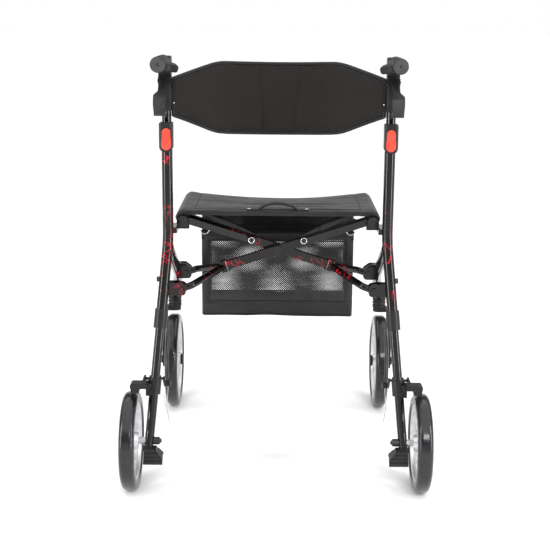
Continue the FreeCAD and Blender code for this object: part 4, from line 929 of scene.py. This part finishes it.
def build_bag():
    """Cloth bag with a net window front and back, black borders and a grey tape round its rim."""
    half = BAG_HIGH.x - 1 * MM
    rear = BAG_LOW.y + 1 * MM
    front = BAG_HIGH.y - 1 * MM
    corner = 10 * MM
    across = 72
    deep = 14
    tall = 46
    loop = []
    for i in range(across + 1):
        x = -half + 2 * half * i / across
        inset = corner * max(0.0, (abs(x) - half + corner) / corner) ** 2 * 0.6
        loop.append((x, rear + inset, -1))
    for i in range(1, deep):
        loop.append((half, rear + (front - rear) * i / deep, 0))
    for i in range(across + 1):
        x = half - 2 * half * i / across
        inset = corner * max(0.0, (abs(x) - half + corner) / corner) ** 2 * 0.6
        loop.append((x, front - inset, 1))
    for i in range(1, deep):
        loop.append((-half, front - (front - rear) * i / deep, 0))
    points = []
    for j in range(tall + 1):
        share = j / tall
        for x, y, face in loop:
            hem = 2.6 * MM * noise.noise(Vector((x * 14.0, y * 9.0, 2.0)))
            low = BAG_LOW.z + 2.5 * MM + hem
            z = low + (BAG_HIGH.z - low) * share
            point = Vector((x, y, z))
            if face:
                point.y += face * bag_wave(x, z, face)
            else:
                point.x -= math.copysign(1.0, x) * 4 * MM * math.sin(math.pi * share) ** 2
            points.append(point)
    count = len(loop)
    window_half = half - 15.5 * MM
    window_low = BAG_LOW.z + 35 * MM
    window_high = BAG_HIGH.z - 14 * MM
    faces = []
    kinds = []
    for j in range(tall):
        for i in range(count):
            n = (i + 1) % count
            quad = (j * count + i, j * count + n, (j + 1) * count + n, (j + 1) * count + i)
            middle = sum((points[k] for k in quad), Vector()) / 4
            on_face = loop[i][2] != 0 and loop[n][2] == loop[i][2]
            open_part = abs(middle.x) < window_half and window_low < middle.z < window_high
            faces.append(quad)
            kinds.append(1 if on_face and open_part else 0)
    for i in range(across):
        a = i
        b = i + 1
        base = across + deep
        c = base + across - i - 1
        d = base + across - i
        faces.append((b, a, d, c))
        kinds.append(0)
    faces.append(tuple(range(across, across + deep + 1)))
    kinds.append(0)
    faces.append(tuple([*range(2 * across + deep, count), 0]))
    kinds.append(0)
    bag = mesh_object("bag_cloth", points, faces)
    bag.data.materials.append(BORDER)
    bag.data.materials.append(NET)
    for face, kind in zip(bag.data.polygons, kinds):
        face.material_index = kind
    trim = [rim_tape(loop)]
    for face in (-1, 1):
        y = rear if face < 0 else front
        frame_line = [(-window_half, window_low), (window_half, window_low), (window_half, window_high),
                      (-window_half, window_high), (-window_half, window_low)]
        dense = []
        for (x0, z0), (x1, z1) in zip(frame_line, frame_line[1:]):
            steps = 40
            for k in range(steps):
                x = x0 + (x1 - x0) * k / steps
                z = z0 + (z1 - z0) * k / steps
                dense.append(Vector((x, y + face * (bag_wave(x, z, face) + 0.6 * MM), z)))
        trim.append(cord_mesh(f"bag_window_{face}", dense, 1.5 * MM, BORDER, closed=True))
        hem = []
        for i in range(across + 1):
            x = -half + 3 * MM + 2 * (half - 3 * MM) * i / across
            z = BAG_LOW.z + 2.5 * MM + 2.6 * MM * noise.noise(Vector((x * 14.0, y * 9.0, 2.0)))
            hem.append(Vector((x, y + face * 0.6 * MM, z + 1.5 * MM)))
        trim.append(cord_mesh(f"bag_hem_{face}", hem, 2.2 * MM, BORDER))
        thread = []
        for i in range(across + 1):
            x = -half + 8 * MM + 2 * (half - 8 * MM) * i / across
            z = BAG_LOW.z + 9 * MM
            thread.append(Vector((x, y + face * (bag_wave(x, z, face) + 0.5 * MM), z)))
        trim.append(stitches(f"bag_thread_{face}", thread, THREAD, 6 * MM, 3.4 * MM, 0.4 * MM))
    trim = joined("bag_trim", trim)
    rings = build_bag_rings()
    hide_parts("mesh_bag")
    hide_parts("bag_rings")
    for piece in (bag, trim, rings):
        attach(piece, "bag")
        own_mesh(piece)


def build_bag_rings():
    """Two chrome rings in webbing loops, from the seat rails to the bag's rim."""
    low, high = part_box("bag_rings")
    pieces = []
    for way in (-1, 1):
        middle = (low + high) / 2
        centre = Vector((way * (high.x - 10 * MM), middle.y - 2 * MM, middle.z - 1 * MM))
        ring = []
        steps = 40
        for i in range(steps):
            angle = 2 * math.pi * i / steps
            ring.append(centre + Vector((9.6 * MM * math.cos(angle), 0, 9.6 * MM * math.sin(angle))))
        pieces.append(cord_mesh(f"ring_{way}", ring, 1.5 * MM, STEEL, closed=True, normal=ALONG))
        tab = [centre + Vector((way * 0.5 * MM, 1.5 * MM, -8 * MM)),
               centre + Vector((way * 1 * MM, 2 * MM, -22 * MM))]
        pieces.append(cord_mesh(f"ring_tab_{way}", tab, 7 * MM, BORDER, flat=0.18, normal=ALONG))
        hanger = [centre + Vector((0, 1.0 * MM, 8 * MM)), centre + Vector((way * 5 * MM, 1.5 * MM, 16 * MM)),
                  centre + Vector((way * 12 * MM, 1.5 * MM, 24 * MM))]
        pieces.append(cord_mesh(f"ring_hanger_{way}", hanger, 6 * MM, WEBBING, flat=0.2, normal=ALONG))
    return joined("bag_ring_set", pieces)


# ---------------------------------------------------------------- fasteners and trim
def screw(name, centre, direction, radius, material=None):
    """Domed screw head with a hexagon recess."""
    head = [(-2 * MM, radius), (0.6 * MM, radius), (1.5 * MM, radius * 0.86), (2.1 * MM, radius * 0.6),
            (2.1 * MM, radius * 0.45), (1.2 * MM, radius * 0.42), (1.2 * MM, radius * 0.05)]
    return lathe(name, head, centre, direction, material or STEEL, 24)


STEM_BOLT_HEIGHT = 826 * MM
BACK_SCREW_HEIGHTS = (787 * MM, 821 * MM)
BRACE_BOLT_HEIGHT = 474.5 * MM
BRACE_SLOPE = 0.33
BRACE_BOLT_INSET = 13.5 * MM
REARWARD = (0, -1, 0)


def build_fasteners():
    for side, way in SIDES.items():
        low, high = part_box(f"handle_body_{side}")
        inner = min(abs(low.x), abs(high.x))
        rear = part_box(f"height_clamp_{side}")[0].y + 1.6 * MM
        heads = []
        for number, step in enumerate((20 * MM, 8.5 * MM)):
            place = (way * (inner + step), rear, STEM_BOLT_HEIGHT)
            heads.append(screw(f"stem_bolt_{side}_{number}", place, REARWARD, 2.6 * MM, BLACK))
        lug = rear + 10.8 * MM
        for number, (height, material) in enumerate(zip(BACK_SCREW_HEIGHTS, (STEEL, BLACK))):
            place = (way * (inner + 4 * MM), lug, height)
            heads.append(screw(f"back_screw_{side}_{number}", place, REARWARD, 2.1 * MM, material))
        set_piece = joined(f"handle_screws_{side}", heads)
        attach(set_piece, f"handle_{side}")
        cap_low, cap_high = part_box(f"grip_cap_{side}")
        centre = (cap_low + cap_high) / 2
        dot = lathe(f"grip_dot_{side}", [(0.0, 2.4 * MM), (0.7 * MM, 2.2 * MM), (0.9 * MM, 0.3 * MM)],
                    (centre.x, cap_low.y + 0.8 * MM, centre.z), REARWARD, BLACK)
        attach(dot, f"handle_{side}")
        low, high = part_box(f"height_button_{side}")
        radius = (high.x - low.x) / 2
        boss = lathe(f"button_boss_{side}", [(-0.4 * MM, radius - 0.6 * MM), (0.5 * MM, radius - 0.8 * MM),
                                             (1.0 * MM, radius - 1.8 * MM), (1.2 * MM, 0.4 * MM)],
                     ((low.x + high.x) / 2, low.y, low.z + radius), REARWARD, CORAL)
        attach(boss, f"height_button_{side}")
    for name, way in (("a", 1), ("b", -1)):
        low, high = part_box(f"support_arm_{name}")
        inner = min(abs(low.x), abs(high.x))
        x = way * (inner + BRACE_BOLT_INSET)
        z = BRACE_BOLT_HEIGHT + abs(x) * BRACE_SLOPE
        ring = [(-1.0 * MM, 7.0 * MM), (0.9 * MM, 7.0 * MM), (1.6 * MM, 6.4 * MM), (1.5 * MM, 5.5 * MM),
                (0.2 * MM, 5.3 * MM)]
        core = [(0.0, 5.5 * MM), (1.2 * MM, 5.3 * MM), (1.2 * MM, 2.4 * MM), (0.4 * MM, 2.2 * MM)]
        head = joined(f"support_bolt_{name}", [
            lathe(f"support_ring_{name}", ring, (x, low.y + 0.2 * MM, z), REARWARD, STEEL),
            lathe(f"support_core_{name}", core, (x, low.y + 0.2 * MM, z), REARWARD, BLACK)])
        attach(head, f"brace_{name}")


aim_camera()
light_studio()
lay_floor()
finish_cad_nodes()
rails = build_seat()
build_apron(*rails)
build_carry_strap(*rails)
build_backrest()
build_bag()
build_fasteners()
